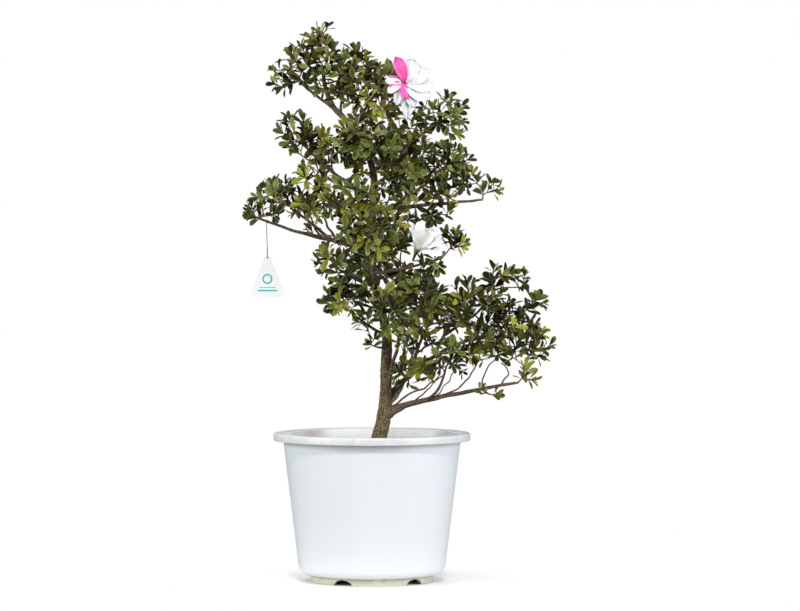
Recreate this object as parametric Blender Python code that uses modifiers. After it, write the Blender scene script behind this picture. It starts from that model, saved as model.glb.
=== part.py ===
"""Azalea bonsai in a white plastic pot, with a blank label hung on a wire.

Sizes and places are millimetres in the frame of the pot: X to the right, Y away
from the front, Z up, with the pot's axis at X = Y = 0 and its foot at Z = 0.
The whole plant is moved at the end, so that the box round it is centred.
"""
import math
import random

import bmesh
import bpy
import numpy as np
from mathutils import Matrix, Vector
from mathutils.bvhtree import BVHTree

MM = 0.001
GAP = 0.3                 # clear space between pieces that touch
WELD = 0.00005            # merge distance in metres

# ---- pot and soil ----------------------------------------------------------------
POT_HEIGHT = 203.0
RIM_RADIUS = 135.0
RIM_DROP = 10.0           # height of the turned-down lip
WALL = 2.6
BODY_TOP_RADIUS = 123.0
BODY_FOOT_RADIUS = 101.0
BODY_FOOT_HEIGHT = 23.0
CORNER_RADIUS = 13.0      # round between the wall and the base
BASE_HEIGHT = 10.0        # the base stands this high on its foot ring
FOOT_RADIUS = 84.0
FOOT_WIDTH = 5.0
FOOT_NOTCHES = 5
FOOT_NOTCH_ANGLE = -28.0  # first notch, degrees to the right of the front
FOOT_NOTCH_WIDTH = 28.0
FOOT_NOTCH_HEIGHT = 7.8
POT_STEPS = 36
SOIL_HEIGHT = 180.0
SOIL_EDGE_DROP = 5.0
SOIL_FLAT = 28.0          # level ground round the trunk

# ---- trunk: height, lean to the right, depth, radius -----------------------------
TRUNK = (
    (SOIL_HEIGHT + GAP, 10.4, 0, 15.4),
    (186, 10.6, 0, 12.6),
    (198, 11.3, 0, 10.8),
    (223, 16, 1, 9.7),
    (244, 18.5, 2, 9.0),
    (264, 19.2, 2, 8.0),
    (303, 19.6, 4, 7.5),
    (337, 20, 3, 6.5),
    (368, 13, -1, 5.3),
    (416, 1.5, -6, 5.2),
    (448, 1, -5, 5.2),
    (481, -1, 0, 5.0),
    (515, 1, 4, 4.9),
    (549, 3, 5, 4.8),
    (577, -3, 3, 4.4),
    (604, -16, 1, 4.2),
    (629, -33, 0, 4.0),
    (648, -52, 0, 3.6),
    (673, -63, 1, 3.0),
    (698, -67, 0, 2.2),
)
TRUNK_RINGS = 32
BOUGH_STEP = 18.0         # from one ring of a bough to the next
BOUGH_RINGS = 5           # at least
BOUGH_TAPER = 0.8

# ---- boughs: parent, height on it, tip, bow at the middle, foot and tip radius ---
BOUGHS = {
    "bough_low_right": ("trunk", 226, (194, -25, 272), (0, -4, 3), 4.8, 1.8),
    "bough_right_main": ("trunk", 247, (138, 30, 331), (0, 4, 12), 4.3, 2.0),
    "bough_right_upright": ("trunk", 263, (43, -28, 372), (3, -6, 0), 3.0, 1.8),
    "bough_left_low": ("trunk", 342, (-38, -10, 378), (0, 0, -4), 2.4, 1.5),
    "bough_back_low": ("trunk", 376, (20, 58, 414), (4, 0, -4), 3.0, 1.8),
    "bough_left_fork": ("trunk", 404, (-46, -8, 428), (0, 0, -3), 2.6, 1.6),
    "bough_flower_right": ("trunk", 424, (90, -35, 441), (0, -4, -3), 2.6, 1.5),
    "bough_centre_back": ("trunk", 452, (12, 58, 489), (0, 0, -4), 3.0, 1.9),
    "bough_left_long": ("trunk", 458, (-150, -6, 495), (0, 2, -4), 4.2, 1.6),
    "bough_right_long": ("trunk", 504, (146, -6, 522), (0, -4, 0), 3.8, 1.6),
    "bough_left_high": ("trunk", 524, (-91, -5, 595), (0, -2, -7), 3.5, 1.7),
    "bough_right_high": ("trunk", 538, (44, -32, 571), (0, 0, -2), 2.8, 1.8),
    "bough_upper_right": ("trunk", 555, (96, 2, 630), (0, 2, 3), 3.2, 1.5),
    "bough_high_back": ("trunk", 580, (6, 55, 604), (0, 0, -3), 2.8, 1.8),
    "bough_top_right": ("trunk", 628, (8, -14, 671), (0, 2, -2), 2.7, 1.7),
    "bough_top_left": ("trunk", 652, (-96, -2, 681), (0, 0, -2), 2.4, 1.6),
    "bough_left_long_fork": ("bough_left_long", 468, (-108, 25, 508), (0, 0, 2), 2.6, 1.6),
    "bough_right_long_fork": ("bough_right_long", 510, (92, 25, 560), (4, 0, 0), 2.4, 1.6),
    "bough_low_front": ("bough_low_right", 250, (100, -45, 291), (3, -4, -3), 2.2, 1.5),
    "bough_right_top": ("bough_right_main", 306, (120, -4, 362), (-4, 0, 3), 2.6, 1.6),
    "bough_right_back": ("bough_right_main", 282, (82, 65, 356), (-4, 4, 0), 2.8, 1.8),
    "bough_right_far": ("bough_right_top", 340, (166, 4, 395), (5, 2, -4), 2.2, 1.5),
}

# ---- foliage: what carries it, its height there, and the balls of its space ------
# A mass on the trunk leaves it towards its first ball; the others start at a tip.
MASSES = {
    "foliage_apex": ("trunk", None, ((-68, 0, 740, 22), (-58, -8, 713, 23))),
    "foliage_top_left": ("bough_top_left", None,
                         ((-99, -4, 716, 28), (-122, 6, 690, 21), (-78, -14, 690, 19))),
    "foliage_top_inner": ("trunk", 676, ((-26, 12, 712, 25), (-3, 32, 692, 22))),
    "foliage_top_right": ("bough_top_right", None,
                          ((16, -8, 682, 22), (11, -28, 654, 24), (-20, -16, 664, 21))),
    "foliage_upper_right": ("bough_upper_right", None,
                            ((107, 2, 650, 22), (80, -6, 636, 21), (112, -8, 622, 17))),
    "foliage_left_upper": ("bough_left_high", None, ((-108, -8, 618, 24), (-79, 2, 606, 23))),
    "foliage_high_front": ("trunk", 584, ((-25, -50, 606, 27), (10, -58, 597, 26))),
    "foliage_high_back": ("bough_high_back", None, ((-14, 72, 616, 30), (27, 72, 598, 30))),
    "foliage_right_high": ("bough_right_high", None, ((58, -38, 589, 25), (44, -45, 562, 21))),
    "foliage_right_upper": ("bough_right_long_fork", None,
                            ((101, 32, 580, 23), (74, 38, 562, 22), (120, 14, 574, 20))),
    "foliage_right_mid": ("bough_right_long", None,
                          ((129, -6, 550, 20), (93, -12, 524, 23), (160, -4, 537, 16), (50, -16, 522, 20))),
    "foliage_left_centre": ("trunk", 508, ((-44, -42, 529, 23), (-16, -55, 529, 22))),
    "foliage_left_long": ("bough_left_long_fork", None,
                          ((-124, 28, 536, 25), (-101, 28, 516, 20), (-80, 6, 553, 24))),
    "foliage_left_tip": ("bough_left_long", None, ((-158, -6, 507, 16), (-136, -8, 508, 15))),
    "foliage_centre_front": ("trunk", 464, ((-27, -68, 482, 27), (16, -78, 488, 28),
                                            (0, -82, 458, 22))),
    "foliage_centre_back": ("bough_centre_back", None, ((-5, 80, 504, 30), (38, 72, 493, 28))),
    "foliage_left_fork": ("bough_left_fork", None, ((-56, -8, 441, 23), (-36, -16, 416, 22))),
    "foliage_left_low": ("bough_left_low", None, ((-48, -10, 388, 22), (-26, -22, 384, 17))),
    "foliage_trunk_shoots": ("trunk", 322, ((-11, -8, 350, 17), (-4, -14, 328, 14))),
    "foliage_flower_right": ("bough_flower_right", None, ((113, -38, 467, 19),
                                                          (80, -52, 432, 18))),
    "foliage_back_low": ("bough_back_low", None, ((8, 82, 432, 27), (41, 82, 406, 27))),
    "foliage_front_low": ("trunk", 350, ((27, -50, 382, 26), (34, -48, 346, 19))),
    "foliage_right_inner": ("bough_right_upright", None, ((58, -32, 399, 27),
                                                          (84, -38, 380, 24))),
    "foliage_right_back": ("bough_right_back", None, ((77, 88, 386, 30), (110, 78, 362, 25))),
    "foliage_right_top": ("bough_right_top", None, ((132, -4, 396, 22), (120, -14, 370, 19))),
    "foliage_right_far": ("bough_right_far", None, ((175, 4, 417, 21), (200, -4, 413, 15))),
    "foliage_right_main": ("bough_right_main", None, ((181, 18, 364, 27), (156, 40, 337, 23),
                                                      (222, 10, 380, 17))),
    "foliage_right_tip": ("bough_low_right", None, ((222, -14, 324, 26), (192, -32, 322, 21),
                                                    (210, -25, 284, 17))),
    "foliage_low_front": ("bough_low_front", None, ((106, -55, 312, 22), (136, -48, 319, 20),
                                                    (78, -48, 290, 15))),
}
SEED = 11
STEM_RADIUS = 1.9
TWIG_RADIUS = 1.25        # where a twig starts
SHOOT_RADIUS = 0.95       # where it ends in leaves
STEM_LENGTH = 7.0
STEM_SINK = 1.5           # the first twigs start this far inside the stem
TWIG_STEP = 16.0          # from one ring of a twig to the next
TWIG_SWELL = 80.0         # a twig this long is twice as thick at its foot
TWIG_UPTURN = 0.45        # how much a twig turns up at its end
PATH_WEIGHT = 0.4         # how much a detour to the stem costs against new wood
WOOD_TRIES = 6            # places on the wood that a new twig may start from
ROSETTE_TRIES = 24        # candidates for each rosette's place
ROSETTE_REACH = 0.5       # of a ball's radius, where rosettes may be
LIMB_ROOM = 2.2           # how much room to a limb counts against room to a rosette
ROSETTE_SHARE = 340.0     # square of a ball's radius for each rosette in it
ROSETTE_LEAVES = 5
LEAF_LENGTH = (30.0, 39.0)
LEAF_WIDTH = 0.56         # of its length
LEAF_SIDES = 4
LEAF_THICKNESS = 1.3
LEAF_WIDEST = 0.6         # of its length, from the root
LEAF_SPREAD = (42.0, 78.0)  # degrees between the shoot and its leaves
LEAF_SIZES = (1.0, 0.84, 0.7)
ROOT_STEP = 1.5           # along the shoot from one leaf to the next
ROOT_DEPTH = 0.35         # of a leaf's root behind the shoot's middle
ROOT_SHARE = 0.08         # of a leaf's length that may meet the leaves beside it
OVERHANG = 12.0           # how far a leaf may pass the balls of its mass
TWIG_OVERHANG = 60.0      # and a twig on its way to them
SHARE_MARGIN = 0.45       # clear space on each side between two masses
GOLDEN_ANGLE = math.radians(137.5)

# ---- the two blossoms: mass, throat, foot of the stalk, petal tips, petal width --
BLOSSOMS = {
    "pink_and_white": ("foliage_top_right", (45, -47, 679), (-1, 18, -8),
                       ((-8, -14, 37), (-27, -12, -6), (20, -14, 29), (40, -12, -2),
                        (39, -16, -25), (14, -18, -37), (3, -12, -50), (-10, -16, -31)), 26.0),
    "white": ("foliage_flower_right", (60, -46, 450), (-4, 8, -10),
              ((-17, -6, 39), (3, -14, 43), (22, -16, 34), (37, -14, 6), (27, -10, -8)), 21.0),
}
BLOSSOM_SHARE = 0.8       # of its reach that a blossom keeps to itself
PETAL_THICKNESS = 1.4
PETAL_SIDES = 6
PETAL_WIDEST = 0.56
PETAL_SINK = 1.2          # its root's depth in the throat
STALK_RADIUS = 1.3
STALK_PAST_THROAT = 2.0

# ---- blank label on its wire -----------------------------------------------------
LABEL_X = -143.0
LABEL_APEX_HEIGHT = 452.0  # where its sides would meet without the round corner
LABEL_HEIGHT = 62.5
LABEL_WIDTH = 50.5
LABEL_CORNER = 4.0
LABEL_THICKNESS = 1.0
LABEL_HOLE = 1.7          # radius
LABEL_HOLE_DROP = 11.0    # from the apex to the hole's centre
LABEL_HOLE_SIDES = 12
LABEL_TURN = -6.0         # degrees about its wire
WIRE_RADIUS = 0.5
WIRE_TURN = (-150.0, 135.0)  # degrees round the bough, from below it at the back
WIRE_TURN_STEPS = 10
WIRE_PITCH = 3.4          # radii that the turn moves along the bough
WIRE_LOOP = (3.0, 6.5)    # half width and half height of the loop through the hole
WIRE_LOOP_ARC = (-24.0, -336.0)  # degrees from the top of the loop
WIRE_LOOP_STEPS = 14


# ---- helpers ---------------------------------------------------------------------
def clear_scene():
    """Remove what the file starts with."""
    for obj in list(bpy.data.objects):
        bpy.data.objects.remove(obj, do_unlink=True)


def new_collection(name):
    """A collection linked to the scene."""
    collection = bpy.data.collections.new(name)
    bpy.context.scene.collection.children.link(collection)
    return collection


def new_material(name, colour, roughness):
    """A plain Principled material."""
    material = bpy.data.materials.new(name)
    material.use_nodes = True
    shader = material.node_tree.nodes["Principled BSDF"]
    shader.inputs["Base Color"].default_value = (*colour, 1.0)
    shader.inputs["Roughness"].default_value = roughness
    material.diffuse_color = (*colour, 1.0)
    return material


def add_object(name, mesh, material, collection):
    """Put a mesh in the scene as a named piece."""
    obj = bpy.data.objects.new(name, mesh)
    if material is not None:
        mesh.materials.clear()
        mesh.materials.append(material)
    collection.objects.link(obj)
    return obj


def evaluated_mesh(obj):
    """A copy of what an object's modifiers or curve make."""
    bpy.context.view_layer.update()
    depsgraph = bpy.context.evaluated_depsgraph_get()
    return bpy.data.meshes.new_from_object(obj.evaluated_get(depsgraph))


def welded_mesh(obj):
    """The evaluated mesh of a curve, with its loose caps welded on."""
    mesh = evaluated_mesh(obj)
    shape = bmesh.new()
    shape.from_mesh(mesh)
    bmesh.ops.remove_doubles(shape, verts=shape.verts, dist=WELD)
    bmesh.ops.recalc_face_normals(shape, faces=shape.faces)
    shape.to_mesh(mesh)
    shape.free()
    return mesh


def tube_mesh(name, route, radii, resolution, collection):
    """A tapered tube with filled caps along a route in metres."""
    curve = bpy.data.curves.new(name, "CURVE")
    curve.dimensions = "3D"
    curve.bevel_depth = 1.0
    curve.bevel_resolution = resolution
    curve.use_fill_caps = True
    spline = curve.splines.new("POLY")
    spline.points.add(len(route) - 1)
    for point, place, radius in zip(spline.points, route, radii):
        point.co = (*place, 1.0)
        point.radius = radius
    obj = bpy.data.objects.new(name + "_curve", curve)
    collection.objects.link(obj)
    mesh = welded_mesh(obj)
    bpy.data.objects.remove(obj)
    mesh.name = name
    return mesh


def apply_boolean(obj, operation, solver, cutter=None, group=None):
    """Join or cut an object with another, or with a whole collection, for good."""
    boolean = obj.modifiers.new("boolean", "BOOLEAN")
    boolean.operation = operation
    boolean.solver = solver
    if group is None:
        boolean.object = cutter
    else:
        boolean.operand_type = "COLLECTION"
        boolean.collection = group
    mesh = evaluated_mesh(obj)
    obj.modifiers.remove(boolean)
    obj.data = mesh


def keep_main_body(mesh):
    """Drop loose scraps and sealed hollows: only the largest shell stays."""
    shape = bmesh.new()
    shape.from_mesh(mesh)
    unseen = set(shape.verts)
    shells = []
    while unseen:
        shell = {unseen.pop()}
        edge_of_shell = list(shell)
        while edge_of_shell:
            vertex = edge_of_shell.pop()
            for edge in vertex.link_edges:
                other = edge.other_vert(vertex)
                if other in unseen:
                    unseen.remove(other)
                    shell.add(other)
                    edge_of_shell.append(other)
        shells.append(shell)
    shells.sort(key=len)
    for shell in shells[:-1]:
        bmesh.ops.delete(shape, geom=list(shell), context="VERTS")
    shape.to_mesh(mesh)
    shape.free()


def split_into_triangles(mesh):
    """Triangles alone, so that a face round a hole stays simple."""
    shape = bmesh.new()
    shape.from_mesh(mesh)
    bmesh.ops.triangulate(shape, faces=shape.faces)
    shape.to_mesh(mesh)
    shape.free()


def tree_of(mesh):
    """A search tree of a mesh's faces."""
    corners = [vertex.co.copy() for vertex in mesh.vertices]
    return BVHTree.FromPolygons(corners, [tuple(face.vertices) for face in mesh.polygons])


# ---- pot and soil ----------------------------------------------------------------
def turned(name, profile, material, collection):
    """A profile of (radius, height) run down its outer side, turned about the axis."""
    mesh = bpy.data.meshes.new(name)
    corners = [(radius * MM, 0.0, height * MM) for radius, height in profile]
    mesh.from_pydata(corners, [(i, i + 1) for i in range(len(corners) - 1)], [])
    obj = add_object(name, mesh, material, collection)
    screw = obj.modifiers.new("turn", "SCREW")
    screw.steps = POT_STEPS
    screw.render_steps = POT_STEPS
    screw.use_merge_vertices = True
    screw.merge_threshold = WELD
    return obj


def wall_radius(height):
    """Outer radius of the tapered wall at a height."""
    share = (height - BODY_FOOT_HEIGHT) / (POT_HEIGHT - BODY_FOOT_HEIGHT)
    return BODY_FOOT_RADIUS + share * (BODY_TOP_RADIUS - BODY_FOOT_RADIUS)


def build_pot(material, collection, cutters):
    """The thin tapered pot with a turned-down rim, on a notched foot ring."""
    lip_inner = RIM_RADIUS - WALL
    under_rim = POT_HEIGHT - WALL
    corner = [(BODY_FOOT_RADIUS - CORNER_RADIUS * (1 - math.cos(angle)),
               BODY_FOOT_HEIGHT - CORNER_RADIUS * math.sin(angle))
              for angle in (math.radians(step * 22.5) for step in range(5))]
    inner_floor = BASE_HEIGHT + WALL
    profile = [
        (0, inner_floor),
        (BODY_FOOT_RADIUS - CORNER_RADIUS - WALL, inner_floor),
        (BODY_FOOT_RADIUS - WALL, BODY_FOOT_HEIGHT),
        (BODY_TOP_RADIUS - WALL, POT_HEIGHT - 2.0),
        (BODY_TOP_RADIUS - WALL + 1.2, POT_HEIGHT),
        (RIM_RADIUS - 1.5, POT_HEIGHT),
        (RIM_RADIUS, POT_HEIGHT - 1.5),
        (RIM_RADIUS, POT_HEIGHT - RIM_DROP),
        (lip_inner, POT_HEIGHT - RIM_DROP),
        (lip_inner, under_rim),
        (wall_radius(under_rim), under_rim),
        *corner,
        (FOOT_RADIUS + 1.0, BASE_HEIGHT),
        (FOOT_RADIUS, 0),
        (FOOT_RADIUS - FOOT_WIDTH, 0),
        (FOOT_RADIUS - FOOT_WIDTH - 1.0, BASE_HEIGHT),
        (0, BASE_HEIGHT),
    ]
    pot = turned("pot", profile, material, collection)
    for number in range(FOOT_NOTCHES):
        angle = math.radians(FOOT_NOTCH_ANGLE - 90.0 + number * 360.0 / FOOT_NOTCHES)
        notch = bpy.data.meshes.new("foot_notch")
        shape = bmesh.new()
        bmesh.ops.create_cone(shape, cap_ends=True, segments=24, depth=3 * FOOT_WIDTH * MM,
                              radius1=FOOT_NOTCH_WIDTH / 2 * MM,
                              radius2=FOOT_NOTCH_WIDTH / 2 * MM)
        stretch = Matrix.Diagonal((FOOT_NOTCH_HEIGHT / (FOOT_NOTCH_WIDTH / 2), 1, 1, 1))
        shape.transform(Matrix.Rotation(math.radians(90), 4, "Y") @ stretch)
        shape.to_mesh(notch)
        shape.free()
        cutter = add_object(f"foot_notch_{number}", notch, None, cutters)
        radius = (FOOT_RADIUS - FOOT_WIDTH / 2) * MM
        cutter.location = (radius * math.cos(angle), radius * math.sin(angle), 0.0)
        cutter.rotation_euler.z = angle
        cutter.hide_render = True
        cutter.display_type = "WIRE"
        boolean = pot.modifiers.new("notch", "BOOLEAN")
        boolean.operation = "DIFFERENCE"
        boolean.object = cutter
    return pot


def build_soil(material, collection):
    """The soil that fills the pot, level round the trunk and lower at the wall."""
    edge_height = SOIL_HEIGHT - SOIL_EDGE_DROP
    floor = BASE_HEIGHT + WALL + GAP
    profile = [
        (0, SOIL_HEIGHT),
        (SOIL_FLAT, SOIL_HEIGHT),
        (0.6 * BODY_TOP_RADIUS, SOIL_HEIGHT - 0.35 * SOIL_EDGE_DROP),
        (wall_radius(edge_height) - WALL - 2 * GAP, edge_height),
        (BODY_FOOT_RADIUS - WALL - 2 * GAP, BODY_FOOT_HEIGHT),
        (BODY_FOOT_RADIUS - CORNER_RADIUS - WALL - 2 * GAP, floor),
        (0, floor),
    ]
    return turned("soil", profile, material, collection)


# ---- trunk and boughs ------------------------------------------------------------
def through(rows, count):
    """Points of a smooth curve through rows of numbers, evenly spaced along them."""
    rows = np.array(rows, float)
    spans = np.linalg.norm(np.diff(rows[:, :3], axis=0), axis=1)
    marks = np.concatenate([[0.0], np.cumsum(spans)])
    padded = np.vstack([2 * rows[0] - rows[1], rows, 2 * rows[-1] - rows[-2]])
    curve = []
    for place in np.linspace(0.0, marks[-1], count):
        span = min(int(np.searchsorted(marks, place, side="right")) - 1, len(spans) - 1)
        t = (place - marks[span]) / spans[span]
        before, start, end, after = padded[span:span + 4]
        curve.append(0.5 * (2 * start + (end - before) * t
                            + (2 * before - 5 * start + 4 * end - after) * t * t
                            + (3 * start - before - 3 * end + after) * t ** 3))
    return np.array(curve)


def trunk_route():
    """Centreline and radii of the trunk, upright at its flat cut."""
    rows = [(lean, depth, height, radius) for height, lean, depth, radius in TRUNK]
    curve = through(rows, TRUNK_RINGS)
    curve[1, :2] = curve[0, :2]
    return curve[:, :3] * MM, curve[:, 3] * MM


def bough_route(parent_route, height, tip, bow, foot_radius, tip_radius):
    """Centreline and radii of a bough from inside its parent to its tip."""
    places, _ = parent_route
    start = places[np.abs(places[:, 2] - height * MM).argmin()]
    end = np.array(tip) * MM
    count = max(BOUGH_RINGS, round(float(np.linalg.norm(end - start)) / (BOUGH_STEP * MM)))
    share = np.linspace(0.0, 1.0, count)[:, None]
    curve = start + (end - start) * share + np.array(bow) * MM * 4 * share * (1 - share)
    radii = (foot_radius + (tip_radius - foot_radius) * share[:, 0] ** BOUGH_TAPER) * MM
    return curve, radii


def limb_routes():
    """Every limb's centreline and radii, by name."""
    routes = {"trunk": trunk_route()}
    for name, (parent, *sizes) in BOUGHS.items():
        routes[name] = bough_route(routes[parent], *sizes)
    return routes


def build_limbs(routes, material, collection, scratch):
    """The trunk and its boughs, each cut clear of the limbs before it."""
    guards = {}
    for name, (route, radii) in routes.items():
        resolution = 2 if name == "trunk" else 1
        mesh = tube_mesh(name, route, radii, resolution, scratch)
        limb = add_object(name, mesh, material, collection)
        for other, guard in guards.items():
            if tree_of(limb.data).overlap(tree_of(guard)):
                cutter = add_object("cutter_" + other, guard, None, scratch)
                apply_boolean(limb, "DIFFERENCE", "EXACT", cutter=cutter)
                keep_main_body(limb.data)
                bpy.data.objects.remove(cutter)
        guards[name] = tube_mesh("guard_" + name, route, radii + GAP * MM, resolution, scratch)
    return {name: tree_of(guard) for name, guard in guards.items()}


# ---- foliage ---------------------------------------------------------------------
class Crown:
    """How the crown is shared out among its masses."""

    def __init__(self, masses, blossoms):
        rows = [(name, *ball) for name, (_, _, balls) in masses.items() for ball in balls]
        for owner, throat, _, tips, _ in blossoms.values():
            reach = max(Vector(tip).length for tip in tips)
            centre = Vector(throat) + sum((Vector(tip) for tip in tips), Vector()) / len(tips)
            rows.append((owner, *centre, BLOSSOM_SHARE * reach))
        self.owners = np.array([row[0] for row in rows])
        self.centres = np.array([row[1:4] for row in rows], float) * MM
        self.radii = np.array([row[4] for row in rows], float) * MM

    def holds(self, owner, points, overhang=OVERHANG):
        """Whether all points lie in one mass's share and near its balls."""
        points = np.asarray(points, float)
        power = ((points[:, None] - self.centres) ** 2).sum(2) - self.radii ** 2
        mine = self.owners == owner
        home = np.where(mine, power, np.inf).argmin(1)
        nearest = power[np.arange(len(points)), home]
        spread = np.linalg.norm(self.centres[home][:, None] - self.centres, axis=2)
        clear = power - nearest[:, None] > 2 * spread * SHARE_MARGIN * MM
        distance = np.sqrt(nearest + self.radii[home] ** 2)
        near = distance < self.radii[home] + overhang * MM
        return bool((clear | mine).all() and near.all())


def three_sided(route, radii):
    """Corners and faces of a three-sided twig along a route."""
    route = [Vector(place) for place in route]
    headings = [(route[min(i + 1, len(route) - 1)] - route[max(i - 1, 0)]).normalized()
                for i in range(len(route))]
    side = headings[0].orthogonal().normalized()
    corners = []
    for place, heading, radius in zip(route, headings, radii):
        side = (side - side.project(heading)).normalized()
        across = heading.cross(side)
        for corner in range(3):
            angle = corner * math.tau / 3
            corners.append(place + radius * (math.cos(angle) * side + math.sin(angle) * across))
    faces = [(2, 1, 0), tuple(len(corners) - 3 + corner for corner in range(3))]
    for ring in range(len(route) - 1):
        for corner in range(3):
            low = 3 * ring + corner
            next_low = 3 * ring + (corner + 1) % 3
            faces.append((low, next_low, next_low + 3, low + 3))
    return corners, faces


def blade(root, direction, normal, length, width, thickness, sides, widest=LEAF_WIDEST):
    """A leaf or a petal with its root at a point, flat below and ridged above."""
    shape = bmesh.new()
    bmesh.ops.create_cone(shape, cap_ends=True, segments=sides, radius1=1.0, radius2=0.0,
                          depth=1.0, matrix=Matrix.Rotation(math.radians(90), 4, "Z"))
    across = normal.cross(direction).normalized()
    normal = direction.cross(across)
    for vertex in shape.verts:
        along, aside, up = vertex.co
        share = max(0.0, (along + 1) / 2) ** (math.log(widest) / math.log(0.5))
        vertex.co = (root + direction * length * share + across * aside * width / 2
                     + normal * (up + 0.5) * thickness)
    shape.verts.index_update()
    corners = [vertex.co.copy() for vertex in shape.verts]
    faces = [tuple(vertex.index for vertex in face.verts) for face in shape.faces]
    shape.free()
    return corners, faces


def bent_run(start, lead, end, arrive, steps):
    """Points of a run that leaves along one heading and arrives along another."""
    reach = (end - start).length
    controls = (start, start + lead * 0.35 * reach, end - arrive * 0.3 * reach, end)
    points = []
    for step in range(steps + 1):
        t = step / steps
        weights = ((1 - t) ** 3, 3 * t * (1 - t) ** 2, 3 * t * t * (1 - t), t ** 3)
        points.append(sum((place * w for place, w in zip(controls, weights)), Vector()))
    return points


class Mass:
    """One mass of foliage, grown from its stem by a seeded rule."""

    def __init__(self, name, crown, guards, routes):
        self.name = name
        self.crown = crown
        self.guards = guards
        self.random = random.Random(f"{SEED} {name}")
        carrier, height, self.balls = MASSES[name]
        places, radii = routes[carrier]
        if height is None:
            heading = Vector(places[-1] - places[-2]).normalized()
            self.start = Vector(places[-1]) + heading * GAP * MM
            self.stem_radius = min(STEM_RADIUS * MM, float(radii[-1]))
        else:
            index = int(np.abs(places[:, 2] - height * MM).argmin())
            run = Vector(places[index + 1] - places[index - 1]).normalized()
            heading = Vector(self.balls[0][:3]) * MM - Vector(places[index])
            heading = (heading - heading.project(run)).normalized()
            self.start = Vector(places[index]) + heading * (float(radii[index]) + GAP * MM)
            self.stem_radius = STEM_RADIUS * MM
        self.heading = heading
        self.pieces = []
        self.leaves = []
        self.wood = []

    def stem(self):
        """The short stem that meets the limb."""
        end = self.start + self.heading * STEM_LENGTH * MM
        route = [self.start, end]
        radii = [self.stem_radius, self.stem_radius * 0.95]
        self.pieces.append(three_sided(route, radii))
        self.wood.append((end - self.heading * STEM_SINK * MM, self.heading, STEM_LENGTH * MM,
                          self.stem_radius))
        return three_sided(route, [radius + 2 * GAP * MM for radius in radii])

    def clear_of_limbs(self, corners, faces):
        """Whether a shape touches no limb, label, wire or other mass's stem."""
        tree = BVHTree.FromPolygons(corners, faces)
        return not any(tree.overlap(guard) for owner, guard in self.guards.items()
                       if owner != self.name)

    def rosette_places(self):
        """Spread-out places for the shoots' ends, more of them in larger balls."""
        places = []
        for x, y, z, radius in self.balls:
            for _ in range(max(1, round(radius ** 2 / ROSETTE_SHARE))):
                best, best_room = None, -1.0
                for _ in range(ROSETTE_TRIES):
                    offset = Vector([self.random.gauss(0, 1) for _ in range(3)]).normalized()
                    offset *= radius * ROSETTE_REACH * self.random.random() ** 0.4
                    place = (Vector((x, y, z)) + offset) * MM
                    if not self.crown.holds(self.name, [place]):
                        continue
                    room = min([(place - other).length for other in places], default=1.0)
                    limb_room = min(guard.find_nearest(place)[3]
                                    for guard in self.guards.values())
                    room = min(room, LIMB_ROOM * limb_room)
                    if room > best_room:
                        best, best_room = place, room
                if best is not None:
                    places.append(best)
        places.sort(key=lambda place: (place - self.start).length)
        return places

    def grow_to(self, place):
        """Join a place to the wood that costs least, and return the shoot's heading."""
        middles = [Vector(ball[:3]) * MM for ball in self.balls]
        middle = min(middles, key=lambda centre: (place - centre).length)
        outward = (place - middle).normalized() + Vector((place.x, place.y, 0)).normalized()
        nearest = sorted(self.wood, key=lambda wood: (place - wood[0]).length
                         + PATH_WEIGHT * wood[2])
        for point, lead, path, radius in nearest[:WOOD_TRIES]:
            way = (place - point).normalized()
            arrive = (way * 0.5 + outward * 0.6 + Vector((0, 0, TWIG_UPTURN))).normalized()
            lead = (lead * 0.7 + way).normalized()
            reach = (place - point).length
            steps = max(1, round(reach / (TWIG_STEP * MM)))
            route = bent_run(point, lead, place, arrive, steps)
            foot = min(radius * 0.9, TWIG_RADIUS * MM * (1 + reach / (TWIG_SWELL * MM)))
            radii = [foot + (SHOOT_RADIUS * MM - foot) * step / steps
                     for step in range(steps + 1)]
            shape = three_sided(route, radii)
            inside = self.crown.holds(self.name, route[1:], TWIG_OVERHANG)
            if not inside or not self.clear_of_limbs(*shape):
                continue
            self.pieces.append(shape)
            for step in range(1, steps + 1):
                heading = (route[step] - route[step - 1]).normalized()
                length = path + reach * step / steps
                self.wood.append((route[step], heading, length, radii[step]))
            return (route[-1] - route[-2]).normalized()
        return None

    def rosette(self, place, heading):
        """Leaves in a whorl round a shoot's end, their roots sunk in it."""
        turn = self.random.uniform(0, math.tau)
        side = heading.orthogonal().normalized()
        across = heading.cross(side)
        leaves = 0
        for number in range(ROSETTE_LEAVES + 1):
            around = turn + number * GOLDEN_ANGLE
            low, high = LEAF_SPREAD
            spread = math.radians(high - (high - low) * number / ROSETTE_LEAVES)
            outward = side * math.cos(around) + across * math.sin(around)
            direction = (heading * math.cos(spread) + outward * math.sin(spread)).normalized()
            normal = (heading * math.sin(spread) - outward * math.cos(spread)).normalized()
            length = self.random.uniform(*LEAF_LENGTH) * MM
            behind = ROOT_STEP * (ROSETTE_LEAVES + 0.7 - number)
            root = place - heading * behind * MM - direction * ROOT_DEPTH * MM
            for size in LEAF_SIZES:
                leaf = blade(root, direction, normal, length * size,
                             length * size * LEAF_WIDTH, LEAF_THICKNESS * MM, LEAF_SIDES)
                if self.has_room(leaf, root):
                    self.pieces.append(leaf)
                    self.leaves.append(BVHTree.FromPolygons(*leaf))
                    leaves += 1
                    break
        return leaves

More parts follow.
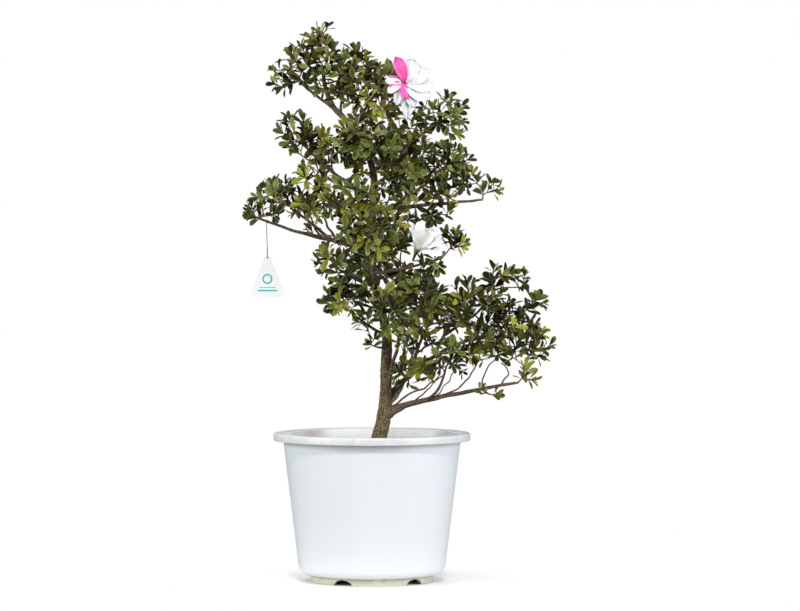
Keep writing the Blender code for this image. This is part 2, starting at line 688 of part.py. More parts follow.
    def has_room(self, leaf, root):
        """Whether a leaf keeps to its mass's share and crosses no limb or other leaf."""
        corners, faces = leaf
        middle = [root.lerp(corner, 0.5) for corner in corners]
        if not self.crown.holds(self.name, corners + middle):
            return False
        if not self.clear_of_limbs(corners, faces):
            return False
        tip = max(corners, key=lambda corner: (corner - root).length)
        past_root = [corner.lerp(tip, ROOT_SHARE) if (corner - root).length < MM else corner
                     for corner in corners]
        outer = BVHTree.FromPolygons(past_root, faces)
        return not any(outer.overlap(other) for other in self.leaves)

    def blossom(self, throat, stalk_foot, tips, petal_width):
        """A blossom's petals round its throat, on a stalk from the nearest wood."""
        throat = Vector(throat) * MM
        foot = throat + Vector(stalk_foot) * MM
        point, lead, _, _ = min(self.wood, key=lambda wood: (wood[0] - foot).length)
        arrive = (throat - foot).normalized()
        route = bent_run(point, lead, foot, arrive, 3) + [throat + arrive * STALK_PAST_THROAT * MM]
        self.pieces.append(three_sided(route, [STALK_RADIUS * MM] * len(route)))
        facing = -arrive
        for tip in tips:
            direction = Vector(tip).normalized()
            normal = (facing - facing.project(direction)).normalized()
            root = throat - direction * PETAL_SINK * MM
            length = Vector(tip).length * MM
            width = min(petal_width * MM, BLOSSOM_SHARE * length)
            self.pieces.append(blade(root, direction, normal, length, width,
                                     PETAL_THICKNESS * MM, PETAL_SIDES, widest=PETAL_WIDEST))

    def fuse(self, material, collection, scratch):
        """One solid from the stem, twigs, leaves and petals."""
        group = new_collection(self.name + "_pieces")
        objects = []
        for number, (corners, faces) in enumerate(self.pieces):
            mesh = bpy.data.meshes.new(f"{self.name}_{number}")
            mesh.from_pydata(corners, [], faces)
            target = scratch if number == 0 else group
            objects.append(add_object(mesh.name, mesh, None, target))
        whole = objects[0]
        apply_boolean(whole, "UNION", "MANIFOLD", group=group)
        keep_main_body(whole.data)
        mass = add_object(self.name, whole.data, material, collection)
        for obj in objects:
            bpy.data.objects.remove(obj)
        bpy.data.collections.remove(group)
        return mass


def build_foliage(routes, guards, materials, collection, scratch):
    """All masses, each in its own share of the crown."""
    crown = Crown(MASSES, BLOSSOMS)
    masses = [Mass(name, crown, guards, routes) for name in MASSES]
    for mass in masses:
        guards[mass.name] = BVHTree.FromPolygons(*mass.stem())
    total = 0
    for mass in masses:
        rosettes = []
        for place in mass.rosette_places():
            heading = mass.grow_to(place)
            if heading is not None:
                rosettes.append((place, heading))
        leaves = sum(mass.rosette(*rosette) for rosette in rosettes)
        for owner, *sizes in BLOSSOMS.values():
            if owner == mass.name:
                mass.blossom(*sizes)
        total += leaves
        print(mass.name, len(rosettes), "rosettes", leaves, "leaves")
        mass.fuse(materials["leaf"], collection, scratch)
    print("leaves in all", total)


# ---- label -----------------------------------------------------------------------
def rounded(corners, radius, steps=4):
    """The outline of a polygon with round corners."""
    outline = []
    for index, corner in enumerate(corners):
        before = (Vector(corners[index - 1]) - Vector(corner)).normalized()
        after = (Vector(corners[(index + 1) % len(corners)]) - Vector(corner)).normalized()
        half = before.angle(after) / 2
        centre = Vector(corner) + (before + after).normalized() * radius / math.sin(half)
        start = Vector(corner) + before * radius / math.tan(half) - centre
        end = Vector(corner) + after * radius / math.tan(half) - centre
        for step in range(steps + 1):
            outline.append(centre + radius * start.slerp(end, step / steps))
    return outline


def build_label(material, collection, scratch):
    """A thin white triangle with round corners and a hole near its apex."""
    curve = bpy.data.curves.new("label", "CURVE")
    curve.dimensions = "2D"
    curve.fill_mode = "BOTH"
    curve.extrude = LABEL_THICKNESS / 2 * MM
    apex = LABEL_HOLE_DROP
    corners = ((0, apex), (-LABEL_WIDTH / 2, apex - LABEL_HEIGHT),
               (LABEL_WIDTH / 2, apex - LABEL_HEIGHT))
    hole = [Vector((LABEL_HOLE * math.cos(angle), LABEL_HOLE * math.sin(angle)))
            for angle in (step * math.tau / LABEL_HOLE_SIDES
                          for step in range(LABEL_HOLE_SIDES))]
    for outline in (rounded(corners, LABEL_CORNER), hole):
        spline = curve.splines.new("POLY")
        spline.points.add(len(outline) - 1)
        for point, place in zip(spline.points, outline):
            point.co = (place.x * MM, place.y * MM, 0.0, 1.0)
        spline.use_cyclic_u = True
    flat = bpy.data.objects.new("label_outline", curve)
    scratch.objects.link(flat)
    mesh = welded_mesh(flat)
    bpy.data.objects.remove(flat)
    split_into_triangles(mesh)
    label = add_object("label", mesh, material, collection)
    hole_height = LABEL_APEX_HEIGHT - LABEL_HOLE_DROP
    mesh.transform(Matrix.Translation((LABEL_X * MM, wire_depth(), hole_height * MM))
                   @ Matrix.Rotation(math.radians(LABEL_TURN), 4, "Z")
                   @ Matrix.Rotation(math.radians(90), 4, "X"))
    return label


def wire_depth():
    """Depth at which the wire hangs, in metres."""
    return BOUGHS["bough_left_long"][2][1] * MM


def build_wire(routes, material, collection, scratch):
    """The wire: once round its bough, straight down and in a loop through the hole."""
    places, radii = routes["bough_left_long"]
    nearest = int(np.abs(places[:, 0] - LABEL_X * MM).argmin())
    along = Vector(places[nearest] - places[nearest - 1]).normalized()
    share = (LABEL_X * MM - places[nearest - 1][0]) / (places[nearest][0] - places[nearest - 1][0])
    centre = Vector(places[nearest - 1]).lerp(Vector(places[nearest]), share)
    turn_radius = float(radii[nearest - 1]) + (GAP + WIRE_RADIUS) * MM
    down = Vector((0, 0, -1))
    down = (down - down.project(along)).normalized()
    front = along.cross(down).normalized()
    route = []
    for step in range(WIRE_TURN_STEPS + 1):
        share = step / WIRE_TURN_STEPS
        angle = math.radians(WIRE_TURN[0] + (WIRE_TURN[1] - WIRE_TURN[0]) * share)
        pitch = (share - 0.5) * WIRE_PITCH * WIRE_RADIUS * MM
        route.append(centre + along * pitch + turn_radius
                     * (down * -math.cos(angle) + front * math.sin(angle)))
    hole = Vector((LABEL_X * MM, wire_depth(), (LABEL_APEX_HEIGHT - LABEL_HOLE_DROP) * MM))
    half_width, half_height = (size * MM for size in WIRE_LOOP)
    lift = half_height + (LABEL_HOLE - WIRE_RADIUS - GAP) * MM
    loop_centre = hole + Vector((0, 0, lift))
    first, last = WIRE_LOOP_ARC
    loop = [loop_centre + Vector((0, half_width * math.sin(angle), half_height * math.cos(angle)))
            for angle in (math.radians(first + (last - first) * step / WIRE_LOOP_STEPS)
                          for step in range(WIRE_LOOP_STEPS + 1))]
    route += [route[-1].lerp(loop[0], share) for share in (0.35, 0.7)]
    mesh = tube_mesh("label_wire", route + loop, [WIRE_RADIUS * MM] * (len(route) + len(loop)),
                     1, scratch)
    return add_object("label_wire", mesh, material, collection)


# ---- the whole plant -------------------------------------------------------------
def centre_on_origin(collection):
    """Hang every piece on one empty, and move it so that their box is centred."""
    bpy.context.view_layer.update()
    corners = np.array([obj.matrix_world @ Vector(corner) for obj in collection.objects
                        for corner in obj.bound_box])
    middle = (corners.min(0) + corners.max(0)) / 2
    root = bpy.data.objects.new("azalea_bonsai", None)
    bpy.context.scene.collection.objects.link(root)
    for obj in collection.objects:
        obj.parent = root
    root.location = (-middle[0], -middle[1], 0.0)


def main():
    """Build every piece of the bonsai."""
    clear_scene()
    collection = new_collection("azalea_bonsai")
    cutters = new_collection("cutters")
    scratch = new_collection("scratch")
    materials = {
        "pot": new_material("white_plastic", (0.82, 0.84, 0.87), 0.35),
        "soil": new_material("soil", (0.10, 0.07, 0.05), 0.95),
        "bark": new_material("bark", (0.20, 0.15, 0.11), 0.85),
        "leaf": new_material("leaf", (0.10, 0.17, 0.06), 0.45),
        "label": new_material("label_plastic", (0.85, 0.87, 0.86), 0.4),
        "wire": new_material("coated_wire", (0.05, 0.05, 0.05), 0.5),
    }
    build_pot(materials["pot"], collection, cutters)
    build_soil(materials["soil"], collection)
    routes = limb_routes()
    guards = build_limbs(routes, materials["bark"], collection, scratch)
    label = build_label(materials["label"], collection, scratch)
    wire = build_wire(routes, materials["wire"], collection, scratch)
    guards["label"] = tree_of(label.data)
    guards["label_wire"] = tree_of(wire.data)
    build_foliage(routes, guards, materials, collection, scratch)
    centre_on_origin(collection)


main()
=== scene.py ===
# %% [markdown]
# # An azalea bonsai in a white plastic pot
# The plant is a slim garden azalea about 0.77 m tall, with a leaning trunk, layered
# boughs, small leathery leaves and two blossoms. The solids that hold its sizes are
# loaded as a frame, and every visible piece is made around them, in metres.

# %% Load the frame
import math
import random
from collections import defaultdict

import bmesh
import bpy
import numpy as np
from mathutils import Matrix, Vector, noise
from mathutils.bvhtree import BVHTree


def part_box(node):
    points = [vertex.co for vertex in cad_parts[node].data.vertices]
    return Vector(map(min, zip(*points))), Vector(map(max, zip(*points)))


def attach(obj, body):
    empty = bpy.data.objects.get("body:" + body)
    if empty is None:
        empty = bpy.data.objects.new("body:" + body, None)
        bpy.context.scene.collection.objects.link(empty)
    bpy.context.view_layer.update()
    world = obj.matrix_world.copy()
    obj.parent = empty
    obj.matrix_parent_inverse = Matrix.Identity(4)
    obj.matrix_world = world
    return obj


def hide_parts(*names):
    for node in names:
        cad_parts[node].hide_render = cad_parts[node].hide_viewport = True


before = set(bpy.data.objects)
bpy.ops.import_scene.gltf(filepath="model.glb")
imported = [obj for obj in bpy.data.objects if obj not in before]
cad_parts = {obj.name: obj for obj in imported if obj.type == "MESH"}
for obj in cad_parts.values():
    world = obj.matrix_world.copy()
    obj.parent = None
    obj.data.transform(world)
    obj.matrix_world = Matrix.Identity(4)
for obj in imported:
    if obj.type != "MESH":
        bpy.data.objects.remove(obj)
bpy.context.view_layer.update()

MM = 0.001
pot_low, pot_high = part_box("pot")
POT_AXIS = Vector(((pot_low.x + pot_high.x) / 2, (pot_low.y + pot_high.y) / 2, 0.0))
POT_HEIGHT = pot_high.z / MM
RIM_RADIUS = (pot_high.x - pot_low.x) / 2 / MM
FOLIAGE_NODES = sorted(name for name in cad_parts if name.startswith("foliage"))
print(f"pot {POT_HEIGHT:.0f} mm high, rim radius {RIM_RADIUS:.0f} mm,",
      len(FOLIAGE_NODES), "masses of foliage")

# %% [markdown]
# ## Helpers for objects and nodes
# Data such as a mesh, a lens or a lamp shows only through an object that is linked to the
# scene. A node is made, set, and fed with numbers or with other nodes' sockets. Both
# could be written out each time, but they return in every step, so each has a helper.


# %% Objects
def placed(name, data, place=(0, 0, 0)):
    """An object in the scene that shows some data."""
    obj = bpy.data.objects.new(name, data)
    bpy.context.scene.collection.objects.link(obj)
    obj.location = place
    return obj


def aim(obj, target):
    """Turn a camera or a lamp towards a place."""
    obj.rotation_euler = (target - obj.location).to_track_quat("-Z", "Y").to_euler()


def primitive(name, make, **sizes):
    """A mesh from one of bmesh's basic shapes."""
    mesh = bpy.data.meshes.new(name)
    shape = bmesh.new()
    make(shape, **sizes)
    shape.to_mesh(mesh)
    shape.free()
    return mesh


# %% Nodes
def feed(tree, node, inputs):
    """Set a node's inputs: a socket is linked, and three numbers are a colour."""
    for name, value in inputs.items():
        if isinstance(value, bpy.types.NodeSocket):
            tree.links.new(value, node.inputs[name])
        else:
            node.inputs[name].default_value = (*value, 1.0) if isinstance(value, tuple) else value


def add_node(tree, kind, inputs, **settings):
    """A new node of a kind, with its settings and its inputs."""
    node = tree.nodes.new("ShaderNode" + kind)
    for name, value in settings.items():
        setattr(node, name, value)
    feed(tree, node, inputs)
    return node


def own_place(tree):
    """The place on the object that is being shaded."""
    return add_node(tree, "TexCoord", {}).outputs["Object"]


def new_finish(name, roughness, specular=0.5):
    """A Principled material, and what is needed to add to it."""
    material = bpy.data.materials.new(name)
    material.use_nodes = True
    shader = material.node_tree.nodes["Principled BSDF"]
    feed(material.node_tree, shader, {"Roughness": roughness, "Specular IOR Level": specular})
    return material, material.node_tree, shader


# %% [markdown]
# ## Camera
# A product picture of a tall plant is taken from far away with a long lens, so that the
# pot's sides stay nearly parallel. The camera stands a little above the middle of the
# plant and looks very slightly down, which opens the rim into a thin ellipse.

# %% Place the camera
FRAME_WIDTH = 1.096       # what the picture's width takes in at the pot's axis
CAMERA_DISTANCE = 4.65
CAMERA_HEIGHT = 0.47
AIM = POT_AXIS + Vector((0.0384, 0.0, 0.3775))
SENSOR_WIDTH = 36.0

camera_data = bpy.data.cameras.new("camera")
camera_data.sensor_width = SENSOR_WIDTH
camera_data.sensor_fit = "HORIZONTAL"
camera_data.lens = SENSOR_WIDTH * CAMERA_DISTANCE / FRAME_WIDTH
camera = placed("camera", camera_data, (AIM.x, AIM.y - CAMERA_DISTANCE, CAMERA_HEIGHT))
aim(camera, AIM)
bpy.context.scene.camera = camera
print(f"lens {camera_data.lens:.0f} mm")

# %% [markdown]
# ## Studio
# The light is even and pale: a white surround, a small light high in front that draws
# the shadow under the rim, a wide one at each side that rounds the pot, and weaker ones
# above and behind. The floor is a disc that thins out towards its edge, so it keeps a
# soft shadow, without a horizon.

# %% Surround and lights
BACKDROP, SURROUND_TINT, SURROUND_STRENGTH = (1.0, 1.0, 1.0), (0.98, 0.99, 1.0), 0.24
LIGHT_AIM = Vector((0.0, 0.0, 0.4))
LIGHTS = {                # place, side of its square, power, colour
    "key_light": ((0.15, -2.7, 2.15), 0.40, 45.0, (1.0, 0.98, 0.95)),
    "top_light": ((-0.3, -0.3, 2.8), 0.9, 20.0, (1.0, 0.99, 0.96)),
    "right_light": ((2.4, -1.5, 0.8), 1.6, 94.0, (0.97, 0.98, 1.0)),
    "left_light": ((-2.4, -1.4, 0.9), 1.6, 82.0, (0.97, 1.0, 0.98)),
    "back_light": ((-0.5, 2.2, 2.2), 1.4, 22.0, (1.0, 1.0, 1.0)),
}
bpy.context.scene.view_settings.view_transform = "Standard"
world = bpy.data.worlds.new("studio")
bpy.context.scene.world = world
world.use_nodes = True
tree = world.node_tree
tree.nodes.clear()
seen = add_node(tree, "Background", {"Color": BACKDROP})
lighting = add_node(tree, "Background", {"Color": SURROUND_TINT, "Strength": SURROUND_STRENGTH})
to_camera = add_node(tree, "LightPath", {}).outputs["Is Camera Ray"]
mix = add_node(tree, "MixShader", {"Fac": to_camera, 1: lighting.outputs[0], 2: seen.outputs[0]})
add_node(tree, "OutputWorld", {"Surface": mix.outputs["Shader"]})
for name, (place, size, power, colour) in LIGHTS.items():
    light = bpy.data.lights.new(name, "AREA")
    light.size, light.energy, light.color = size, power, colour
    aim(placed(name, light, place), LIGHT_AIM)
print("lights:", len(LIGHTS))

# %% Floor
FLOOR_SOLID, FLOOR_END = 0.08, 0.22   # where the disc starts to thin out, and has gone
FLOOR_GREY, FLOOR_GAP = (0.93, 0.93, 0.93), 0.0002
floor_mesh = primitive("floor", bmesh.ops.create_circle, cap_ends=True, segments=96, radius=FLOOR_END)
floor = placed("floor", floor_mesh, POT_AXIS - Vector((0, 0, FLOOR_GAP)))
floor_material, tree, shader = new_finish("floor_paper", roughness=0.9)
out = add_node(tree, "VectorMath", {0: own_place(tree)}, operation="LENGTH").outputs["Value"]
fade = add_node(tree, "MapRange", {"Value": out, "From Min": FLOOR_SOLID, "From Max": FLOOR_END,
                                   "To Min": 1.0, "To Max": 0.0}, interpolation_type="SMOOTHSTEP")
feed(tree, shader, {"Base Color": FLOOR_GREY, "Alpha": fade.outputs["Result"]})
floor_mesh.materials.append(floor_material)
print(f"floor {2 * FLOOR_END:.2f} m across")

# %% [markdown]
# ## Shared effects
# Real surfaces are never one flat colour. Two effects return in most finishes here:
# a soft mottle, which drifts from patch to patch, and bark, whose plates are long and
# whose fissures run with the limb. Each is a node group with named inputs, so that every
# material places it once with its own values.


# %% The two node groups
def new_group(name, inputs, outputs):
    """An empty node group with float inputs {name: default} and named outputs."""
    tree = bpy.data.node_groups.new(name, "ShaderNodeTree")
    for label, value in inputs.items():
        socket = tree.interface.new_socket(label, in_out="INPUT", socket_type="NodeSocketFloat")
        socket.default_value = value
    for label in outputs:
        tree.interface.new_socket(label, in_out="OUTPUT", socket_type="NodeSocketFloat")
    return tree, tree.nodes.new("NodeGroupInput"), tree.nodes.new("NodeGroupOutput")


def mapped(tree, value, low, high):
    """A value spread from between low and high to 0 to 1, and clamped."""
    return add_node(tree, "MapRange", {"Value": value, "From Min": low,
                                       "From Max": high}).outputs["Result"]


def noise_mask(tree, place, scale, low, high, detail=2.0, roughness=0.5):
    """Noise as a mask, which goes from 0 to 1 between two of its values."""
    pattern = add_node(tree, "TexNoise", {"Vector": place, "Scale": scale, "Detail": detail,
                                          "Roughness": roughness})
    return mapped(tree, pattern.outputs["Fac"], low, high)


def mottle_group():
    """Soft patches (Patches) with fine specks (Specks), each with its own scale."""
    tree, given, result = new_group("mottle", {"Scale": 60.0, "Speck Scale": 900.0},
                                    ("Patches", "Specks"))
    place = own_place(tree)
    for scale, output, low, high in (("Scale", "Patches", 0.35, 0.68),
                                     ("Speck Scale", "Specks", 0.60, 0.72)):
        spots = noise_mask(tree, place, given.outputs[scale], low, high, detail=3.0)
        feed(tree, result, {output: spots})
    return tree


def bark_group():
    """Long plates and fissures (Fissures), with lichen-like patches (Patches)."""
    tree, given, result = new_group("bark", {"Scale": 420.0, "Stretch": 0.60},
                                    ("Fissures", "Patches"))
    place, scale = own_place(tree), given.outputs["Scale"]
    squash = add_node(tree, "CombineXYZ", {"X": 1.0, "Y": 1.0, "Z": given.outputs["Stretch"]})
    along = add_node(tree, "VectorMath", {0: place, 1: squash.outputs["Vector"]},
                     operation="MULTIPLY").outputs["Vector"]
    fissures = noise_mask(tree, along, scale, low=0.40, high=0.60, detail=5.0, roughness=0.65)
    patches = noise_mask(tree, place, 95.0, low=0.42, high=0.66)
    feed(tree, result, {"Fissures": fissures, "Patches": patches})
    return tree


MOTTLE, BARK = mottle_group(), bark_group()
print("effects:", [group.name for group in bpy.data.node_groups])

# %% [markdown]
# ## Finishes
# The pot is white moulded plastic with faint scuffs, the soil dark crumbs, the trunk
# olive-brown bark that turns redder on the young shoots. The leaves are leathery, with a
# soft sheen, a painted pale highlight along the edge and an underside tint of their own,
# darker on most sprays as painted shade on the lower faces; each spray gets one of a few plain greens.

# %% Helpers for layers of wear and painted shade
MIX_FIRST, MIX_SECOND, MIX_RESULT = 6, 7, 2     # the Mix node's sockets for colours
DRIFT = 0.6               # how far a drifting tint goes towards its second colour


def effect(tree, group, **values):
    """The outputs of a shared effect, placed in a material with its own values."""
    inputs = {label.replace("_", " "): value for label, value in values.items()}
    return add_node(tree, "Group", inputs, node_tree=group).outputs


def blended(tree, mask, first, second):
    """A colour that goes from first to second with a mask; either may be a socket."""
    return add_node(tree, "Mix", {"Factor": mask, MIX_FIRST: first, MIX_SECOND: second},
                    data_type="RGBA").outputs[MIX_RESULT]


def product(tree, value, *factors):
    """A mask multiplied by other masks or by numbers."""
    for factor in factors:
        value = add_node(tree, "Math", {0: value, 1: factor}, operation="MULTIPLY").outputs["Value"]
    return value


def drift(tree, mottle, first, second):
    """A colour that drifts softly between two."""
    return blended(tree, product(tree, mottle["Patches"], DRIFT), first, second)


def band(tree, low, high, fade):
    """A mask of the surface between two heights in millimetres, with soft edges."""
    height = add_node(tree, "SeparateXYZ", {"Vector": own_place(tree)}).outputs["Z"]
    return product(tree, mapped(tree, height, (low - fade) * MM, low * MM),
                   mapped(tree, height, (high + fade) * MM, high * MM))


def dress(tree, shader, colour, height=None, strength=0.0, distance=0.0004):
    """Give a shader its colour and, from a mask, fine relief."""
    feed(tree, shader, {"Base Color": colour})
    if strength:
        bump = add_node(tree, "Bump", {"Height": height, "Strength": strength, "Distance": distance})
        feed(tree, shader, {"Normal": bump.outputs["Normal"]})


def mottled_finish(name, colour, dark, roughness, scale, speck_scale, bump=0.0, specks=None):
    """A finish whose colour drifts, with fine specks and a slight relief."""
    material, tree, shader = new_finish(name, roughness)
    mottle = effect(tree, MOTTLE, Scale=scale, Speck_Scale=speck_scale)
    coloured = drift(tree, mottle, colour, dark)
    if specks:
        coloured = blended(tree, mottle["Specks"], coloured, specks)
    dress(tree, shader, coloured, mottle["Specks"], bump)
    return material


# %% The pot's white plastic
PLASTIC = (0.615, 0.635, 0.668), (0.580, 0.620, 0.623)
FOOT_PLASTIC = (0.48, 0.465, 0.40), (0.33, 0.315, 0.25)
DIRT, SOILED = (0.36, 0.34, 0.28), (0.24, 0.21, 0.14)
FOOT_SPECKS = 0.7
COLLAR_SHADE_BAND = (187.0, 194.0, 1.5)     # lowest and highest place, and its soft edge
RIM_BAND = (193.5, 204.0, 0.8)
LOW_BAND = (6.0, 12.0, 3.0)
CORNER_BAND = (8.6, 11.0, 1.2)
WEAR_AND_SHADE = {                  # the tint of each layer, and how much of it shows
    "scuffs": ((0.40, 0.43, 0.46), 0.20),
    # painted shade: the shadow that the rim casts on the wall just under it
    "painted_collar_shade": ((0.50, 0.52, 0.49), 0.10),
    # painted shade: the whole rim band greyed, so the lights leave it no brighter than the body
    "rim": ((0.50, 0.51, 0.51), 0.40),
    "grey_rim": ((0.46, 0.46, 0.44), 0.60),
    "aged": ((0.68, 0.67, 0.57), 0.40),
    "rim_specks": (DIRT, 0.8),
}


def pot_finish():
    """White plastic: drifting tint, faint scuffs, painted shade in a band under the rim and over the
    rim, and a speckled rim.
    """
    material, tree, shader = new_finish("pot_white", roughness=0.38)
    mottle = effect(tree, MOTTLE, Scale=7.0, Speck_Scale=420.0)
    scuffs = effect(tree, MOTTLE, Scale=26.0, Speck_Scale=170.0)
    dirt = effect(tree, MOTTLE, Scale=120.0, Speck_Scale=430.0)
    rim = band(tree, *RIM_BAND)
    masks = {"scuffs": (scuffs["Specks"], scuffs["Patches"]), "rim": (rim,),
             "painted_collar_shade": (band(tree, *COLLAR_SHADE_BAND),), "grey_rim": (rim, dirt["Patches"]),
             "aged": (band(tree, *LOW_BAND),), "rim_specks": (rim, dirt["Specks"])}
    coloured = drift(tree, mottle, *PLASTIC)
    for layer, (tint, amount) in WEAR_AND_SHADE.items():
        coloured = blended(tree, product(tree, *masks[layer], amount), coloured, tint)
    dress(tree, shader, coloured, mottle["Specks"], strength=0.04, distance=0.0003)
    return material


def foot_finish():
    """The foot ring: the same plastic, cream with age, with soil in its corner."""
    material, tree, shader = new_finish("pot_foot", roughness=0.55)
    mottle = effect(tree, MOTTLE, Scale=60.0, Speck_Scale=480.0)
    coloured = drift(tree, mottle, *FOOT_PLASTIC)
    coloured = blended(tree, product(tree, mottle["Specks"], FOOT_SPECKS), coloured, DIRT)
    corner = product(tree, band(tree, *CORNER_BAND), mottle["Patches"])
    coloured = blended(tree, corner, coloured, SOILED)
    dress(tree, shader, coloured, mottle["Specks"], strength=0.15)
    return material


pot_white, pot_foot = pot_finish(), foot_finish()
print("layers of wear:", list(WEAR_AND_SHADE))

# %% The pot's inside, soil, tag and wire
MOTTLED = {               # tint, second tint, roughness, scale of patches, of specks, relief
    # pot_inside is the same white plastic as the outside; its first tint is painted lighter to make up
    # for the shade inside the pot
    "pot_inside": ((0.74, 0.74, 0.77), (0.37, 0.355, 0.28), 0.5, 17.0, 500.0, 0.05,
                   (0.50, 0.46, 0.38)),     # and the colour of its specks
    "soil_mix": ((0.075, 0.050, 0.034), (0.020, 0.014, 0.010), 0.95, 260.0, 1500.0, 0.6),
    "label_sheet": ((0.61, 0.605, 0.635), (0.57, 0.575, 0.605), 0.42, 30.0, 900.0, 0.03),
    "label_ink": ((0.02, 0.34, 0.30), (0.02, 0.27, 0.25), 0.5, 60.0, 900.0),
    "wire_coat": ((0.045, 0.045, 0.05), (0.02, 0.02, 0.02), 0.45, 300.0, 1200.0, 0.1),
}
pot_inside, soil_finish, label_finish, label_ink, wire_finish = (
    mottled_finish(name, *sizes) for name, sizes in MOTTLED.items())
print("mottled finishes:", list(MOTTLED))

# %% Bark
BARKS = {                 # plates, fissures, patches, scale and relief
    "trunk_bark": ((0.195, 0.146, 0.084), (0.026, 0.017, 0.009), (0.170, 0.135, 0.060), 560.0, 0.0008),
    "bough_bark": ((0.190, 0.124, 0.088), (0.030, 0.017, 0.011), (0.115, 0.076, 0.054), 760.0, 0.0004),
    "twig_bark": ((0.260, 0.130, 0.072), (0.080, 0.034, 0.020), (0.180, 0.115, 0.060), 900.0, 0.0002),
}


def bark_finish(name, plate, fissure, patch, scale, relief):
    """Bark: plates with darker fissures, and drifting patches of another tint."""
    material, tree, shader = new_finish(name, roughness=0.85, specular=0.25)
    bark = effect(tree, BARK, Scale=scale)
    tinted = blended(tree, bark["Patches"], plate, patch)
    coloured = blended(tree, bark["Fissures"], fissure, tinted)
    dress(tree, shader, coloured, bark["Fissures"], strength=0.6, distance=relief)
    return material


trunk_bark, bough_bark, twig_bark = (bark_finish(name, *sizes) for name, sizes in BARKS.items())
print("barks:", list(BARKS))

# %% Leaves
# The undersides are darker than the upper sides on most sprays: painted shade on the leaves' lower
# faces, over their own underside tone.
LEAF_TINTS = {            # upper side, underside, and the share of sprays that have it
    "leaf_deep": ((0.026, 0.031, 0.004), (0.050, 0.054, 0.014), 0.28),
    "leaf_green": ((0.118, 0.138, 0.012), (0.075, 0.082, 0.022), 0.28),
    "leaf_grey_green": ((0.222, 0.246, 0.060), (0.120, 0.128, 0.050), 0.18),
    "leaf_olive": ((0.265, 0.255, 0.016), (0.110, 0.110, 0.026), 0.16),
    "leaf_fresh": ((0.345, 0.355, 0.034), (0.220, 0.235, 0.060), 0.10),
}
TINT_SHARES = [tints[2] for tints in LEAF_TINTS.values()]
DEAD_LEAF, DEAD_SLOT = ("leaf_dead", (0.33, 0.13, 0.035), (0.38, 0.20, 0.075)), len(LEAF_TINTS)
LEAF_DARKER = 0.50        # the darker patches on a leaf, as a share of its tint
EDGE_HIGHLIGHT_TINT, EDGE_HIGHLIGHT_POWER, EDGE_HIGHLIGHT_AMOUNT = (0.34, 0.37, 0.20), 4.0, 0.60     # a painted highlight along a leaf's edge
SHADE_TINT, SHADE_AMOUNT = (0.010, 0.011, 0.002), 0.95      # deep inside the crown


def leaf_finish(name, upper, under):
    """A leathery leaf: its own tint above with a painted highlight along the edge, another below that
    is mostly darker as painted shade, a soft sheen.
    """
    material, tree, shader = new_finish(name, roughness=0.46, specular=0.10)
    mottle = effect(tree, MOTTLE, Scale=140.0, Speck_Scale=1400.0)
    edge, inside = (add_node(tree, "Attribute", {}, attribute_name=layer).outputs["Fac"]
                    for layer in ("rim", "inside"))
    darker = tuple(LEAF_DARKER * channel for channel in upper)
    above = blended(tree, mottle["Patches"], darker, upper)
    # the pale edge is a painted highlight, laid where the rim layer is high
    narrow = add_node(tree, "Math", {0: edge, 1: EDGE_HIGHLIGHT_POWER}, operation="POWER").outputs["Value"]
    edge_highlighted = blended(tree, product(tree, narrow, EDGE_HIGHLIGHT_AMOUNT), above, EDGE_HIGHLIGHT_TINT)
    below = add_node(tree, "NewGeometry", {}).outputs["Backfacing"]
    shown = blended(tree, below, edge_highlighted, under)
    shaded = blended(tree, product(tree, inside, SHADE_AMOUNT), shown, SHADE_TINT)
    dress(tree, shader, shaded, mottle["Specks"], strength=0.12, distance=0.0002)
    return material


leaf_materials = [leaf_finish(name, *tints[:2]) for name, tints in LEAF_TINTS.items()]
leaf_materials.append(leaf_finish(*DEAD_LEAF))
print("leaf tints:", len(leaf_materials))

# %% Petals
PETALS = {                # tint, and the tint of the flow along it
    # The first and the last white here are one petal white: painted darker for the first flower, whose
    # petals face the lights, and lighter for the second, whose petals face away.
    "petal_white": ((0.62, 0.60, 0.62), (0.56, 0.56, 0.60)),
    "petal_pink": ((0.70, 0.11, 0.37), (0.56, 0.06, 0.26)),
    "petal_throat": ((0.72, 0.10, 0.20), (0.60, 0.06, 0.14)),
    "petal_cream": ((0.72, 0.74, 0.38), (0.60, 0.66, 0.26)),
    "petal_white_brightened": ((0.92, 0.93, 0.92), (0.86, 0.87, 0.88)),
}
WHITE_SLOT, PINK_SLOT, THROAT_SLOT, CREAM_SLOT, BRIGHTENED_WHITE_SLOT = range(len(PETALS))


def petal_finish(name, colour, vein):
    """A thin petal with faintly darker flow along it and a soft surface."""
    material, tree, shader = new_finish(name, roughness=0.55, specular=0.3)
    mottle = effect(tree, MOTTLE, Scale=120.0, Speck_Scale=600.0)
    feed(tree, shader, {"Subsurface Weight": 0.12, "Subsurface Scale": 0.003})
    dress(tree, shader, blended(tree, mottle["Patches"], colour, vein))
    return material


petal_materials = [petal_finish(name, *tints) for name, tints in PETALS.items()]
print("materials:", len(bpy.data.materials))

# %% [markdown]
# ## Helpers for pieces
# Everything below is modelled in millimetres in the pot's own frame, with the pot's axis
# at zero, and moved to its place at the end. A limb is a loft: rings of corners along a
# smooth route, so that its radius and its relief can change freely along it.


# %% Add a piece, and join many shapes
def add_piece(name, mesh, materials, slot, *replaced):
    """A finished piece in its place, which rides on the plant's body."""
    mesh.transform(Matrix.Translation(POT_AXIS))
    for material in materials:
        mesh.materials.append(material)
    piece = placed(name, mesh)
    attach(piece, "root")
    if replaced:
        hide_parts(*replaced)
    print(f"{name}: {sum(len(face.vertices) - 2 for face in mesh.polygons)} triangles")


